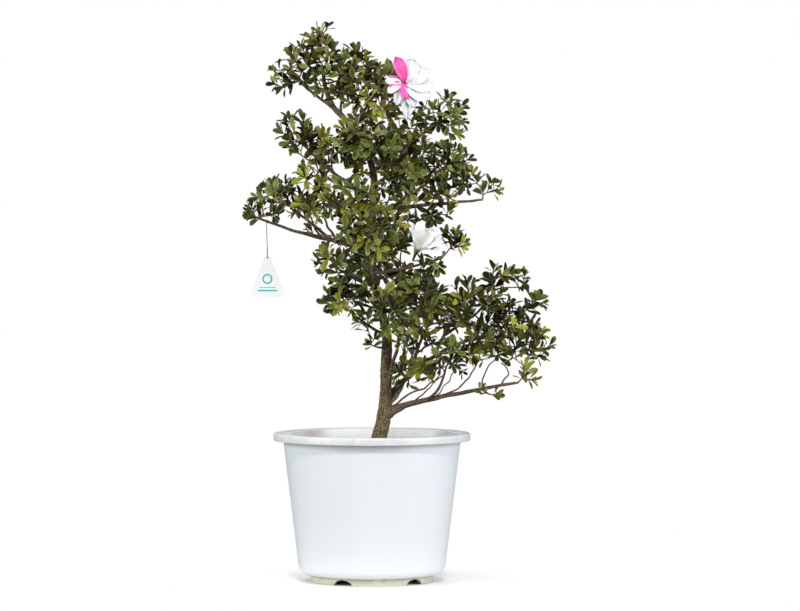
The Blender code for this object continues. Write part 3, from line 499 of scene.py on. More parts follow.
def mesh_of(name, corners, faces, slots=None):
    """A smooth mesh from corners in millimetres, with a material slot for each face."""
    mesh = bpy.data.meshes.new(name)
    mesh.from_pydata((np.asarray(corners, float) * MM).tolist(), [], faces)
    mesh.shade_smooth()
    if slots is not None:
        mesh.polygons.foreach_set("material_index", slots)
    return mesh


class Heap:
    """Corners and faces of many small shapes that become one mesh."""

    def __init__(self):
        self.corners, self.faces, self.slots = [], [], []

    def add(self, corners, faces, slot=0):
        """Put one more shape on the heap."""
        first = len(self.corners)
        self.corners.extend(tuple(corner) for corner in corners)
        self.faces.extend(tuple(first + index for index in face) for face in faces)
        self.slots.extend([slot] * len(faces) if isinstance(slot, int) else slot)

    def mesh(self, name):
        """The whole heap as one mesh."""
        return mesh_of(name, self.corners, self.faces, self.slots)


def net(rows, columns, closed=True):
    """Faces between rows of corners; a closed net joins its last column to its first."""
    return [(r * columns + c, r * columns + (c + 1) % columns,
             (r + 1) * columns + (c + 1) % columns, (r + 1) * columns + c)
            for r in range(rows - 1) for c in range(columns if closed else columns - 1)]


# %% Loft along a route
def loft(route, radii, sides, relief=None):
    """Corners and faces of a tube along a route, closed at both ends."""
    route = [Vector(place) for place in route]
    last = len(route) - 1
    headings = [(route[min(i + 1, last)] - route[max(i - 1, 0)]).normalized()
                for i in range(last + 1)]
    side = headings[0].orthogonal().normalized()
    corners = []
    for place, heading, radius in zip(route, headings, radii):
        side = (side - side.project(heading)).normalized()
        across = heading.cross(side)
        for corner in range(sides):
            angle = corner * math.tau / sides
            outward = math.cos(angle) * side + math.sin(angle) * across
            swell = relief(place, outward, radius) if relief else 0.0
            corners.append(place + outward * (radius + swell))
    ends = [tuple(range(sides - 1, -1, -1)), tuple(last * sides + i for i in range(sides))]
    return corners, ends + net(last + 1, sides)


def through(rows, count):
    """Points of a smooth curve through rows of numbers, evenly spaced along them."""
    rows = np.array(rows, float)
    spans = np.linalg.norm(np.diff(rows[:, :3], axis=0), axis=1)
    marks = np.concatenate([[0.0], np.cumsum(spans)])
    padded = np.vstack([2 * rows[0] - rows[1], rows, 2 * rows[-1] - rows[-2]])
    curve = []
    for place in np.linspace(0.0, marks[-1], count):
        span = min(int(np.searchsorted(marks, place, side="right")) - 1, len(spans) - 1)
        t = (place - marks[span]) / spans[span]
        before, start, end, after = padded[span:span + 4]
        curve.append(0.5 * (2 * start + (end - before) * t
                            + (2 * before - 5 * start + 4 * end - after) * t * t
                            + (3 * start - before - 3 * end + after) * t ** 3))
    return np.array(curve)


# %% [markdown]
# ## Pot
# A nursery pot is moulded in one thin wall: a tapered body, a rounded corner into the
# base, a ring to stand on with five drain notches, and a wide rim whose lip turns down.
# It could be carved from a cone, but one profile turned about the axis gives the wall,
# the lip and the corner together, with arcs wherever the real edge is rounded.

# %% Sizes of the pot
WALL = 2.6
BODY_TOP_RADIUS, BODY_FOOT_RADIUS, BODY_FOOT_HEIGHT = 123.0, 101.0, 23.0
CORNER_RADIUS, BASE_HEIGHT = 13.0, 10.0
FOOT_RADIUS, FOOT_WIDTH, FOOT_EDGE, FOOT_DRAFT = 84.0, 5.0, 0.8, 1.0
RIM_DROP, RIM_EDGE, LIP_EDGE, LIP_CHAMFER = 10.0, 2.0, 0.8, 0.4
SHOULDER, ROOT_OF_RIM = 1.4, 1.5
NOTCHES, NOTCH_ANGLE, NOTCH_WIDTH, NOTCH_HEIGHT = 5, -28.0, 28.0, 7.8
POT_STEPS, NOTCH_SIDES, SHARP_ANGLE = 144, 40, math.radians(38)
MERGE = 0.00005           # corners of the turned profile this near become one, in metres
INSIDE_PART, FOOT_PART = 1, 2           # the finishes in their order, after the white
FOOT_LINE, FACES_UP = 0.5, 0.5


# %% A profile, and how it is turned
def arc(centre, radius, start, end, steps=6):
    """Points of an arc in the profile's plane, between two angles in degrees."""
    return [(centre[0] + radius * math.cos(math.radians(start + (end - start) * i / steps)),
             centre[1] + radius * math.sin(math.radians(start + (end - start) * i / steps)))
            for i in range(steps + 1)]


def wall_radius(height):
    """Outer radius of the tapered wall at a height."""
    share = (height - BODY_FOOT_HEIGHT) / (POT_HEIGHT - BODY_FOOT_HEIGHT)
    return BODY_FOOT_RADIUS + share * (BODY_TOP_RADIUS - BODY_FOOT_RADIUS)


def turned(name, profile, steps):
    """A profile of (radius, height), outer side downwards, turned about the axis."""
    outline = bpy.data.meshes.new(name + "_profile")
    outline.from_pydata([(r * MM, 0, z * MM) for r, z in profile],
                        [(i, i + 1) for i in range(len(profile) - 1)], [])
    obj = placed(name + "_profile", outline)
    screw = obj.modifiers.new("turn", "SCREW")
    screw.steps = screw.render_steps = steps
    screw.use_merge_vertices = True
    screw.merge_threshold = MERGE
    return obj


def applied(obj):
    """The mesh that an object's modifiers make; the object goes."""
    bpy.context.view_layer.update()
    mesh = bpy.data.meshes.new_from_object(obj.evaluated_get(bpy.context.evaluated_depsgraph_get()))
    bpy.data.objects.remove(obj)
    return mesh


# %% The pot's profile
inner_floor, under_rim, lip = BASE_HEIGHT + WALL, POT_HEIGHT - WALL, RIM_RADIUS - WALL
top = POT_HEIGHT - RIM_EDGE
pot_profile = [
    (0, inner_floor), (BODY_FOOT_RADIUS - CORNER_RADIUS - WALL, inner_floor),
    (BODY_FOOT_RADIUS - WALL, BODY_FOOT_HEIGHT), (BODY_TOP_RADIUS - WALL, top),
    *arc((BODY_TOP_RADIUS + SHOULDER, top), RIM_EDGE, 160, 90),
    *arc((RIM_RADIUS - RIM_EDGE, top), RIM_EDGE, 90, 0),
    *arc((RIM_RADIUS - LIP_EDGE, POT_HEIGHT - RIM_DROP + LIP_EDGE), LIP_EDGE, 0, -90, 4),
    (lip + LIP_CHAMFER, POT_HEIGHT - RIM_DROP), (lip, POT_HEIGHT - RIM_DROP + LIP_CHAMFER),
    *arc((lip - RIM_EDGE, under_rim - RIM_EDGE), RIM_EDGE, 0, 90, 4),
    (wall_radius(under_rim) + ROOT_OF_RIM, under_rim),
    (wall_radius(under_rim - ROOT_OF_RIM), under_rim - ROOT_OF_RIM),
    *arc((BODY_FOOT_RADIUS - CORNER_RADIUS, BODY_FOOT_HEIGHT), CORNER_RADIUS, 0, -90, 8),
    (FOOT_RADIUS + FOOT_DRAFT, BASE_HEIGHT),
    *arc((FOOT_RADIUS - FOOT_EDGE, FOOT_EDGE), FOOT_EDGE, 0, -90, 3),
    *arc((FOOT_RADIUS - FOOT_WIDTH + FOOT_EDGE, FOOT_EDGE), FOOT_EDGE, -90, -180, 3),
    (FOOT_RADIUS - FOOT_WIDTH - FOOT_DRAFT, BASE_HEIGHT), (0, BASE_HEIGHT),
]
print("corners in the profile:", len(pot_profile))

# %% Turn the pot, and cut its notches
pot_shape = turned("pot", pot_profile, POT_STEPS)
notch_cutters = []
for number in range(NOTCHES):
    angle = math.radians(NOTCH_ANGLE - 90.0 + number * 360.0 / NOTCHES)
    cutter_mesh = primitive("notch", bmesh.ops.create_cone, cap_ends=True, segments=NOTCH_SIDES,
                            depth=3 * FOOT_WIDTH * MM, radius1=NOTCH_WIDTH / 2 * MM,
                            radius2=NOTCH_WIDTH / 2 * MM)
    stretch = Matrix.Diagonal((NOTCH_HEIGHT / (NOTCH_WIDTH / 2), 1, 1, 1))
    cutter_mesh.transform(Matrix.Rotation(math.radians(90), 4, "Y") @ stretch)
    reach = (FOOT_RADIUS - FOOT_WIDTH / 2) * MM
    cutter = placed(f"notch_{number}", cutter_mesh,
                    (reach * math.cos(angle), reach * math.sin(angle), 0.0))
    cutter.rotation_euler.z = angle
    boolean = pot_shape.modifiers.new("notch", "BOOLEAN")
    boolean.operation, boolean.object = "DIFFERENCE", cutter
    notch_cutters.append(cutter)
pot_mesh = applied(pot_shape)
for cutter in notch_cutters:
    bpy.data.objects.remove(cutter)
pot_mesh.shade_smooth()
pot_mesh.set_sharp_from_angle(angle=SHARP_ANGLE)
for face in pot_mesh.polygons:
    height, radius = face.center.z / MM, math.hypot(face.center.x, face.center.y) / MM
    inward = face.normal.x * face.center.x + face.normal.y * face.center.y < 0
    if height < BASE_HEIGHT + FOOT_LINE:
        face.material_index = FOOT_PART
    elif radius < wall_radius(height) - WALL / 2 and (inward or face.normal.z > FACES_UP):
        face.material_index = INSIDE_PART
add_piece("pot_shell", pot_mesh, [pot_white, pot_inside, pot_foot], "pot_plastic", "pot")

# %% [markdown]
# ## Soil
# The potting mix lies just under the rim, level round the trunk and lower at the wall.
# A flat disc would show its edge, so the surface is a fine net raised by noise, and
# loose crumbs of a few sizes are scattered on it, all in one joined mesh.

# %% The soil's surface
SOIL_HEIGHT, SOIL_RADIUS, SOIL_EDGE_DROP, SOIL_FLAT = 180.0, 118.5, 5.0, 0.25
SOIL_DISH, SOIL_GRAIN, SOIL_ROUGHNESS, SOIL_SINK = 1.3, 9.0, 0.7, 0.6
SOIL_FRACTAL = (1.0, 2.0, 3)          # dimension, lacunarity and octaves
RINGS, SPOKES = 44, 120
CRUMBS, CRUMB_SIZES, CRUMB_REACH = 1500, (0.8, 1.1, 1.4, 1.9, 2.6), 0.975
CRUMB_RISE, CRUMB_DRAW = 0.2, (0.7, 1.15)
SEED = 11
soil_random = random.Random(f"{SEED} soil")


def soil_level(x, y):
    """Height of the soil's surface at a place."""
    out = math.hypot(x, y) / SOIL_RADIUS
    rough = noise.fractal(Vector((x, y, 0)) / SOIL_GRAIN, *SOIL_FRACTAL)
    drop = SOIL_EDGE_DROP * max(0.0, out - SOIL_FLAT) ** SOIL_DISH
    return SOIL_HEIGHT - drop + SOIL_ROUGHNESS * rough - SOIL_SINK


soil = Heap()
surface = [(r * math.cos(a), r * math.sin(a), soil_level(r * math.cos(a), r * math.sin(a)))
           for r in (SOIL_RADIUS * ring / RINGS for ring in range(1, RINGS + 1))
           for a in (spoke * math.tau / SPOKES for spoke in range(SPOKES))]
surface.append((0.0, 0.0, soil_level(0, 0)))
upward = [(first, *rest[::-1]) for first, *rest in net(RINGS, SPOKES)]
soil.add(surface, upward + [(len(surface) - 1, s, (s + 1) % SPOKES) for s in range(SPOKES)])
print("faces in the soil's net:", len(soil.faces))

# %% Crumbs
crumb = primitive("crumb", bmesh.ops.create_icosphere, subdivisions=1, radius=1.0)
crumb_corners = [vertex.co.copy() for vertex in crumb.vertices]
crumb_faces = [tuple(face.vertices) for face in crumb.polygons]
for _ in range(CRUMBS):
    reach = SOIL_RADIUS * math.sqrt(soil_random.random()) * CRUMB_REACH
    around = soil_random.uniform(0, math.tau)
    x, y = reach * math.cos(around), reach * math.sin(around)
    size = soil_random.choice(CRUMB_SIZES)
    place = Vector((x, y, soil_level(x, y) + CRUMB_RISE * size))
    soil.add([place + corner * size * soil_random.uniform(*CRUMB_DRAW) for corner in crumb_corners],
             crumb_faces)
add_piece("soil_surface", soil.mesh("soil_surface"), [soil_finish], "potting_soil", "soil")

# %% [markdown]
# ## Trunk and boughs
# The trunk leans and bends as it was trained, and swells into a root flare at the soil.
# The boughs leave it one by one and taper to where they enter the leaves. Their routes
# are smooth curves through a few named places, and noise that is stretched along the
# limb raises the bark's plates and knots, since real bark shows in the outline too.

# %% The trunk and the boughs
TRUNK = (                 # height, lean to the right, depth, radius
    (SOIL_HEIGHT + 0.3, 10.4, 0, 15.4), (186, 10.6, 0, 12.6), (198, 11.3, 0, 10.8),
    (223, 16, 1, 9.7), (244, 18.5, 2, 9.0), (264, 19.2, 2, 8.0), (303, 19.6, 4, 7.5),
    (337, 20, 3, 6.5), (368, 13, -1, 5.3), (416, 1.5, -6, 5.2), (448, 1, -5, 5.2),
    (481, -1, 0, 5.0), (515, 1, 4, 4.9), (549, 3, 5, 4.8), (577, -3, 3, 4.4),
    (604, -16, 1, 4.2), (629, -33, 0, 4.0), (648, -52, 0, 3.6), (673, -63, 1, 3.0),
    (698, -67, 0, 2.2),
)
BOUGHS = {                # parent, height on it, tip, bow, foot and tip radius
    "bough_low_right": ("trunk", 226, (194, -25, 272), (0, -4, 3), 4.8, 1.8),
    "bough_right_main": ("trunk", 247, (138, 30, 331), (0, 4, 12), 4.3, 2.0),
    "bough_right_upright": ("trunk", 263, (43, -28, 372), (3, -6, 0), 3.0, 1.8),
    "bough_left_low": ("trunk", 342, (-38, -10, 378), (0, 0, -4), 2.4, 1.5),
    "bough_back_low": ("trunk", 376, (20, 58, 414), (4, 0, -4), 3.0, 1.8),
    "bough_left_fork": ("trunk", 404, (-46, -8, 428), (0, 0, -3), 2.6, 1.6),
    "bough_flower_right": ("trunk", 424, (90, -35, 441), (0, -4, -3), 2.6, 1.5),
    "bough_centre_back": ("trunk", 452, (12, 58, 489), (0, 0, -4), 3.0, 1.9),
    "bough_left_long": ("trunk", 458, (-150, -6, 495), (0, 2, -4), 4.2, 1.6),
    "bough_right_long": ("trunk", 504, (146, -6, 522), (0, -4, 0), 3.8, 1.6),
    "bough_left_high": ("trunk", 524, (-91, -5, 595), (0, -2, -7), 3.5, 1.7),
    "bough_right_high": ("trunk", 538, (44, -32, 571), (0, 0, -2), 2.8, 1.8),
    "bough_upper_right": ("trunk", 555, (96, 2, 630), (0, 2, 3), 3.2, 1.5),
    "bough_high_back": ("trunk", 580, (6, 55, 604), (0, 0, -3), 2.8, 1.8),
    "bough_top_right": ("trunk", 628, (8, -14, 671), (0, 2, -2), 2.7, 1.7),
    "bough_top_left": ("trunk", 652, (-96, -2, 681), (0, 0, -2), 2.4, 1.6),
    "bough_left_long_fork": ("bough_left_long", 468, (-108, 25, 508), (0, 0, 2), 2.6, 1.6),
    "bough_right_long_fork": ("bough_right_long", 510, (92, 25, 560), (4, 0, 0), 2.4, 1.6),
    "bough_low_front": ("bough_low_right", 250, (100, -45, 291), (3, -4, -3), 2.2, 1.5),
    "bough_right_top": ("bough_right_main", 306, (120, -4, 362), (-4, 0, 3), 2.6, 1.6),
    "bough_right_back": ("bough_right_main", 282, (82, 65, 356), (-4, 4, 0), 2.8, 1.8),
    "bough_right_far": ("bough_right_top", 340, (166, 4, 395), (5, 2, -4), 2.2, 1.5),
}
print("boughs:", len(BOUGHS))

# %% The fine stems, and the route of a limb
STEMS = {                 # fine stems between the boughs, in the same terms
    "stem_beside_trunk": ("bough_low_right", 229, (33, -14, 300), (-6, -2, -4), 3.0, 1.4),
    "stem_rising": ("bough_right_main", 258, (60, -26, 388), (15, -4, -16), 3.4, 1.5),
    "stem_inner": ("stem_rising", 285, (43, 6, 356), (8, 2, 2), 1.7, 0.9),
    "stem_over_low": ("bough_low_right", 231, (95, -20, 281), (0, -2, 1), 1.7, 0.9),
    "stem_cross": ("stem_beside_trunk", 288, (72, -10, 322), (0, 0, -2), 1.3, 0.8),
    "stem_collar": ("trunk", 228, (50, -3, 242), (0, 0, -2), 6.0, 3.0),
    "stem_fork": ("bough_low_right", 228, (48, -20, 282), (0, 0, -6), 2.9, 1.3),
    "stem_low_inner": ("bough_low_right", 233, (62, -8, 288), (-3, 0, 2), 2.0, 1.0),
    "low_spur_1": ("bough_low_right", 244, (93, -26, 284), (-1, 0, -4), 1.2, 0.8),
    "low_spur_2": ("bough_low_right", 250, (112, -12, 290), (5, 0, 0), 1.0, 0.7),
    "low_spur_3": ("bough_low_right", 254, (151, -22, 328), (10, 0, -10), 1.3, 0.8),
    "low_spur_4": ("bough_low_right", 264, (166, -24, 302), (-3, 0, 1), 1.3, 0.8),
    "low_spur_5": ("bough_low_right", 269, (176, -30, 300), (9, 0, 4), 1.1, 0.7),
    "left_fork_low": ("bough_left_long", 470, (-84, -26, 504), (0, 0, -4), 1.8, 1.0),
    "left_fork_high": ("bough_left_long", 465, (-66, 8, 520), (-6, 0, -2), 2.0, 1.1),
    "upper_fork": ("bough_left_high", 560, (-52, -18, 598), (-2, 0, -3), 1.6, 0.9),
    "apex_fork": ("trunk", 640, (-30, -8, 684), (-3, 0, 2), 1.9, 1.0),
    "right_twin": ("trunk", 560, (64, -24, 612), (0, 0, -2), 1.8, 1.0),
}
TRUNK_RINGS = 32
BOUGH_STEP, BOUGH_RINGS, BOUGH_TAPER = 18.0, 5, 0.8


def bough_route(parent_route, height, tip, bow, foot_radius, tip_radius):
    """Centreline and radii of a bough from inside its parent to its tip."""
    places, _ = parent_route
    start = places[np.abs(places[:, 2] - height).argmin()]
    end = np.array(tip, float)
    count = max(BOUGH_RINGS, round(float(np.linalg.norm(end - start)) / BOUGH_STEP))
    share = np.linspace(0.0, 1.0, count)[:, None]
    curve = start + (end - start) * share + np.array(bow) * 4 * share * (1 - share)
    return curve, foot_radius + (tip_radius - foot_radius) * share[:, 0] ** BOUGH_TAPER


trunk_curve = through([(lean, depth, height, radius) for height, lean, depth, radius in TRUNK],
                      TRUNK_RINGS)
trunk_curve[1, :2] = trunk_curve[0, :2]
routes = {"trunk": (trunk_curve[:, :3], trunk_curve[:, 3])}
for name, (parent, *sizes) in BOUGHS.items():
    routes[name] = bough_route(routes[parent], *sizes)
print("limbs:", len(routes), "and", len(STEMS), "fine stems")

# %% Limbs with bark relief
RING_STEP = 1.4           # along a limb from one ring to the next
COLLAR, COLLAR_START, COLLAR_SWELL = 9.0, 1.6, 0.35      # the swelling at a limb's foot
TRUNK_SIDES, TRUNK_RELIEF = 44, (0.62, 2.4)     # relief: how deep, and the size of its grain
BOUGH_SIDES, BOUGH_RELIEF, BOUGH_WANDER = 16, (0.22, 1.9), 1.5
STEM_SIDES, STEM_RELIEF, STEM_WANDER, STEM_KINKS, STEM_SHIFT = 10, (0.12, 1.6), 3.4, 13.0, 1.7
GRAIN_ALONG, GRAIN_SLANT, KNOTS, KNOT_SIZE = 0.28, 0.10, 0.06, 5.0
BARK_FRACTAL = (0.8, 2.1, 3)
WANDER_GRAIN, WANDER_AXES, WANDER_EASE = 21.0, 7.3, 0.5


def bark_relief(depth, grain):
    """How far bark stands out at a place: plates along the limb, and slow knots."""
    def relief(place, outward, radius):
        around = outward * radius
        slide = place.z * GRAIN_ALONG + place.x * GRAIN_SLANT
        along = Vector((around.x, around.y, around.z + slide))
        plates = noise.fractal(along / grain, *BARK_FRACTAL)
        knots = noise.noise((place + around) / (KNOT_SIZE * grain))
        return depth * plates + KNOTS * radius * knots
    return relief


def wander(route, amount, seed, grain=WANDER_GRAIN):
    """The route with the small kinks of grown wood, still at its two ends."""
    moved = []
    for index, place in enumerate(route):
        share = index / (len(route) - 1)
        ease = math.sin(math.pi * share) ** WANDER_EASE
        shift = [noise.noise(Vector((place[0] / grain + seed, place[2] / grain, axis * WANDER_AXES)))
                 for axis in range(3)]
        moved.append(Vector(place) + Vector(shift) * amount * ease)
    return moved


def drawn(name):
    """The finely stepped curve and radii of a limb, as it is drawn."""
    places, radii = routes[name]
    length = float(np.linalg.norm(np.diff(places, axis=0), axis=1).sum())
    rows = through(np.column_stack([places, radii]), max(8, round(length / RING_STEP)))
    curve = [Vector(row[:3]) for row in rows]
    if name in STEMS:
        curve = wander(rows[:, :3], STEM_WANDER, STEM_SHIFT * list(STEMS).index(name), STEM_KINKS)
    elif name != "trunk":
        curve = wander(rows[:, :3], BOUGH_WANDER, len(name))
    spread = rows[:, 3].copy()
    if name != "trunk":
        gone = np.linspace(0.0, length, len(rows))
        near = np.clip(1.0 - (gone - spread[0] * COLLAR_START) / COLLAR, 0.0, 1.0)
        spread *= 1.0 + COLLAR_SWELL * near ** 2
    return curve, spread


# %% The bark of the trunk and the boughs
LIMB_LOOKS = {            # sides, relief, finish and slot: of the trunk, and of a bough
    True: (TRUNK_SIDES, TRUNK_RELIEF, trunk_bark, "bark"),
    False: (BOUGH_SIDES, BOUGH_RELIEF, bough_bark, "branch_bark"),
}
for name in list(routes):
    sides, depths, finish, slot = LIMB_LOOKS[name == "trunk"]
    corners, faces = loft(*drawn(name), sides, bark_relief(*depths))
    add_piece(name + "_bark", mesh_of(name, corners, faces), [finish], slot, name)

# %% Fine stems between the boughs
fine_stems = Heap()
for name, (parent, *sizes) in STEMS.items():
    curve, _ = drawn(parent)
    routes[name] = bough_route((np.array(curve), None), *sizes)
    fine_stems.add(*loft(*drawn(name), STEM_SIDES, bark_relief(*STEM_RELIEF)))
add_piece("fine_stems", fine_stems.mesh("fine_stems"), [bough_bark], "branch_bark", *FOLIAGE_NODES)

# %% [markdown]
# ## How the crown grows
# Each mass of foliage owns a few balls of space. Shoots are dealt out in them by a seeded
# rule that keeps them apart, nearest the stem first, and each new twig starts from the
# wood that costs least to reach, so the twigs branch as wood does. A leaf that would
# leave the crown or cross a limb or another leaf is tried smaller, and then left out.
# Scattering leaves on a sphere would be quicker, but they would hang on nothing.

# %% The masses and their space, in millimetres
MASSES = {                # what carries it, its height there, and its balls
    "foliage_apex": ("trunk", None, (-68, 0, 740, 22), (-58, -8, 713, 23), (-66, 0, 753, 13)),
    "foliage_top_left": ("bough_top_left", None, (-99, -4, 716, 28), (-122, 6, 690, 21),
        (-78, -14, 690, 19)),
    "foliage_top_inner": ("trunk", 676, (-26, 12, 712, 25), (-3, 32, 692, 22)),
    "foliage_top_right": ("bough_top_right", None, (16, -8, 682, 22), (11, -28, 654, 24),
        (-20, -16, 664, 21)),
    "foliage_upper_right": ("bough_upper_right", None, (107, 2, 650, 22), (80, -6, 636, 21),
        (112, -8, 622, 17)),
    "foliage_left_upper": ("bough_left_high", None, (-108, -8, 618, 24), (-79, 2, 606, 23)),
    "foliage_high_front": ("trunk", 584, (-25, -50, 606, 27), (10, -58, 597, 26)),
    "foliage_high_back": ("bough_high_back", None, (-14, 72, 616, 30), (27, 72, 598, 30)),
    "foliage_right_high": ("bough_right_high", None, (58, -38, 589, 25), (44, -45, 562, 21)),
    "foliage_right_upper": ("bough_right_long_fork", None, (101, 32, 580, 23), (74, 38, 562, 22),
        (120, 14, 574, 20)),
    "foliage_right_mid": ("bough_right_long", None, (129, -6, 550, 20), (93, -12, 524, 23),
        (160, -4, 537, 16), (50, -16, 522, 20)),
    "foliage_left_centre": ("trunk", 508, (-44, -42, 529, 23), (-16, -55, 529, 22)),
    "foliage_left_long": ("bough_left_long_fork", None, (-124, 28, 536, 25), (-101, 28, 516, 20),
        (-80, 6, 553, 24)),
    "foliage_left_tip": ("bough_left_long", None, (-158, -6, 507, 16), (-136, -8, 508, 15)),
    "foliage_centre_front": ("trunk", 464, (-27, -68, 482, 27), (16, -78, 488, 28), (0, -82, 458, 22)),
    "foliage_centre_back": ("bough_centre_back", None, (-5, 80, 504, 30), (38, 72, 493, 28)),
    "foliage_left_fork": ("bough_left_fork", None, (-56, -8, 441, 23), (-36, -16, 416, 22)),
    "foliage_left_low": ("bough_left_low", None, (-48, -10, 388, 22), (-26, -22, 384, 17)),
    "foliage_trunk_shoots": ("trunk", 322, (-8, -10, 352, 15), (1, -16, 330, 11)),
    "foliage_flower_right": ("bough_flower_right", None, (113, -38, 467, 19), (80, -52, 432, 18)),
    "foliage_back_low": ("bough_back_low", None, (8, 82, 432, 27), (41, 82, 406, 27)),
    "foliage_front_low": ("trunk", 350, (27, -50, 382, 26), (34, -48, 346, 19)),
    "foliage_right_inner": ("bough_right_upright", None, (58, -32, 399, 27), (84, -38, 380, 24)),
    "foliage_right_back": ("bough_right_back", None, (77, 88, 386, 30), (110, 78, 362, 25)),
    "foliage_right_top": ("bough_right_top", None, (132, -4, 396, 22), (120, -14, 370, 19)),
    "foliage_right_far": ("bough_right_far", None, (175, 4, 417, 21), (200, -4, 413, 15)),
    "foliage_right_main": ("bough_right_main", None, (181, 18, 364, 27), (156, 40, 337, 23),
        (222, 10, 380, 17)),
    "foliage_right_tip": ("bough_low_right", None, (222, -14, 324, 26), (192, -32, 322, 21),
        (210, -25, 284, 17)),
    "foliage_low_front": ("bough_low_front", None, (106, -55, 312, 22), (136, -48, 319, 20),
        (78, -48, 290, 15)),
}
print("masses:", len(MASSES))

# %% Inner shoots
INNER_SHOOTS = {          # shorter sprays along the wood that fill the crown between them
    "inner_top": ("apex_fork", None, (-32, -12, 690, 17), (-42, 14, 672, 15), (24, 12, 694, 17)),
    "inner_upper_left": ("upper_fork", None, (-38, -18, 584, 19), (-60, -16, 592, 16),
        (-22, 20, 586, 18)),
    "inner_left_high": ("bough_left_high", 588, (-100, -10, 594, 14), (-74, 16, 586, 14)),
    "inner_left_fork": ("left_fork_high", None, (-66, -4, 520, 17), (-74, 18, 534, 16),
        (-48, 10, 508, 14)),
    "inner_left_front": ("left_fork_low", None, (-76, -30, 508, 16), (-98, -26, 512, 15)),
    "inner_left_edge": ("bough_left_long", 488, (-130, -12, 536, 18), (-148, 6, 530, 14)),
    "inner_centre": ("bough_flower_right", 430, (30, -48, 456, 19), (42, -14, 472, 16)),
    "inner_centre_deep": ("trunk", 470, (22, 20, 462, 19), (-26, 18, 470, 18)),
    "inner_right_long": ("bough_right_long", 509, (26, -26, 548, 19), (44, 12, 536, 16)),
    "inner_right_mid": ("bough_right_long", 518, (104, 0, 550, 17), (78, -24, 548, 15)),
    "inner_right_hang": ("bough_right_long", 516, (84, -12, 502, 13), (99, -16, 508, 11)),
    "inner_trunk_left": ("trunk", 376, (-13, -22, 394, 16), (-5, -27, 372, 14)),
    "inner_trunk_back": ("trunk", 440, (-18, 30, 436, 18), (-28, 26, 404, 17)),
    "inner_rising": ("stem_rising", None, (58, -30, 352, 17), (72, -18, 372, 16), (48, -34, 328, 13)),
    "inner_stem": ("stem_inner", None, (40, 8, 360, 16), (58, 20, 342, 16)),
    "inner_low": ("stem_over_low", None, (68, -34, 290, 12), (92, -26, 290, 13)),
    "inner_low_stem": ("stem_low_inner", None, (64, -12, 294, 12), (54, -26, 276, 11)),
    "inner_low_spur": ("low_spur_2", None, (114, -15, 292, 13)),
    "inner_fork": ("stem_fork", None, (45, -24, 296, 12), (36, -22, 282, 9)),
    "inner_window": ("stem_rising", 318, (78, -27, 334, 15), (84, -12, 352, 13)),
    "inner_left_root": ("bough_left_long", 462, (-82, -12, 480, 9)),
    "inner_under": ("bough_low_right", 265, (170, -28, 262, 9), (150, -28, 262, 7)),
    "inner_trunk_high": ("trunk", 556, (-16, -12, 566, 14), (14, -14, 540, 13)),
    "inner_apex": ("apex_fork", 660, (-50, -14, 668, 13), (-70, -20, 676, 12)),
    "inner_spur": ("low_spur_3", None, (160, -22, 334, 15), (140, -16, 344, 14)),
    "inner_low_right": ("low_spur_4", None, (174, -24, 318, 16), (158, -34, 306, 12)),
    "inner_right": ("bough_right_far", 372, (166, -10, 386, 18), (146, 14, 374, 15)),
    "inner_right_edge": ("bough_right_main", 321, (210, 0, 350, 17), (186, -20, 344, 16)),
    "inner_upper_right": ("right_twin", None, (42, -20, 628, 16), (62, -14, 622, 14)),
    "inner_high": ("right_twin", 585, (28, -6, 566, 17), (40, 14, 590, 16)),
}
print("inner shoots:", len(INNER_SHOOTS))

# %% The blossoms' places
BLOSSOMS = {              # mass, throat, foot of the stalk, petals: tip, width and tint
    "pink_and_white": ("foliage_top_right", (45, -47, 679), (-1, 18, -8), (
        ((-13, -12, 36), 18, "pink"), ((-27, -12, 3), 15, "edged"), ((-24, -17, -13), 14, "edged"),
        ((12, -6, 33), 26, "white"), ((32, -10, 18), 30, "white"), ((40, -15, -4), 29, "white"),
        ((33, -18, -24), 29, "white"), ((13, -19, -34), 20, "white"),
        ((3, -12, -51), 15, "white"), ((-12, -16, -30), 16, "white"),
        ((1, -24, -23), 14, "pink"))),
    "white": ("foliage_flower_right", (60, -46, 450), (-4, 8, -10), (
        ((-10, -4, 43), 14, "brightened_white"), ((4, -6, 43), 15, "brightened_white"), ((14, -17, 33), 29, "brightened_white"),
        ((27, -20, 28), 31, "brightened_white"), ((37, -20, 15), 30, "brightened_white"), ((35, -21, -3), 25, "brightened_white"),
        ((24, 4, 20), 30, "brightened_white"))),
}
print("petals:", {flower: len(row[3]) for flower, row in BLOSSOMS.items()})

# %% How the crown is shared out
BLOSSOM_SHARE = 0.8
OVERHANG, SHARE_MARGIN = 7.0, 0.30
SHADE_START, SHADE_DEPTH = 2.0, 12.0      # where leaves turn darker inside the crown
MASSES.update(INNER_SHOOTS)


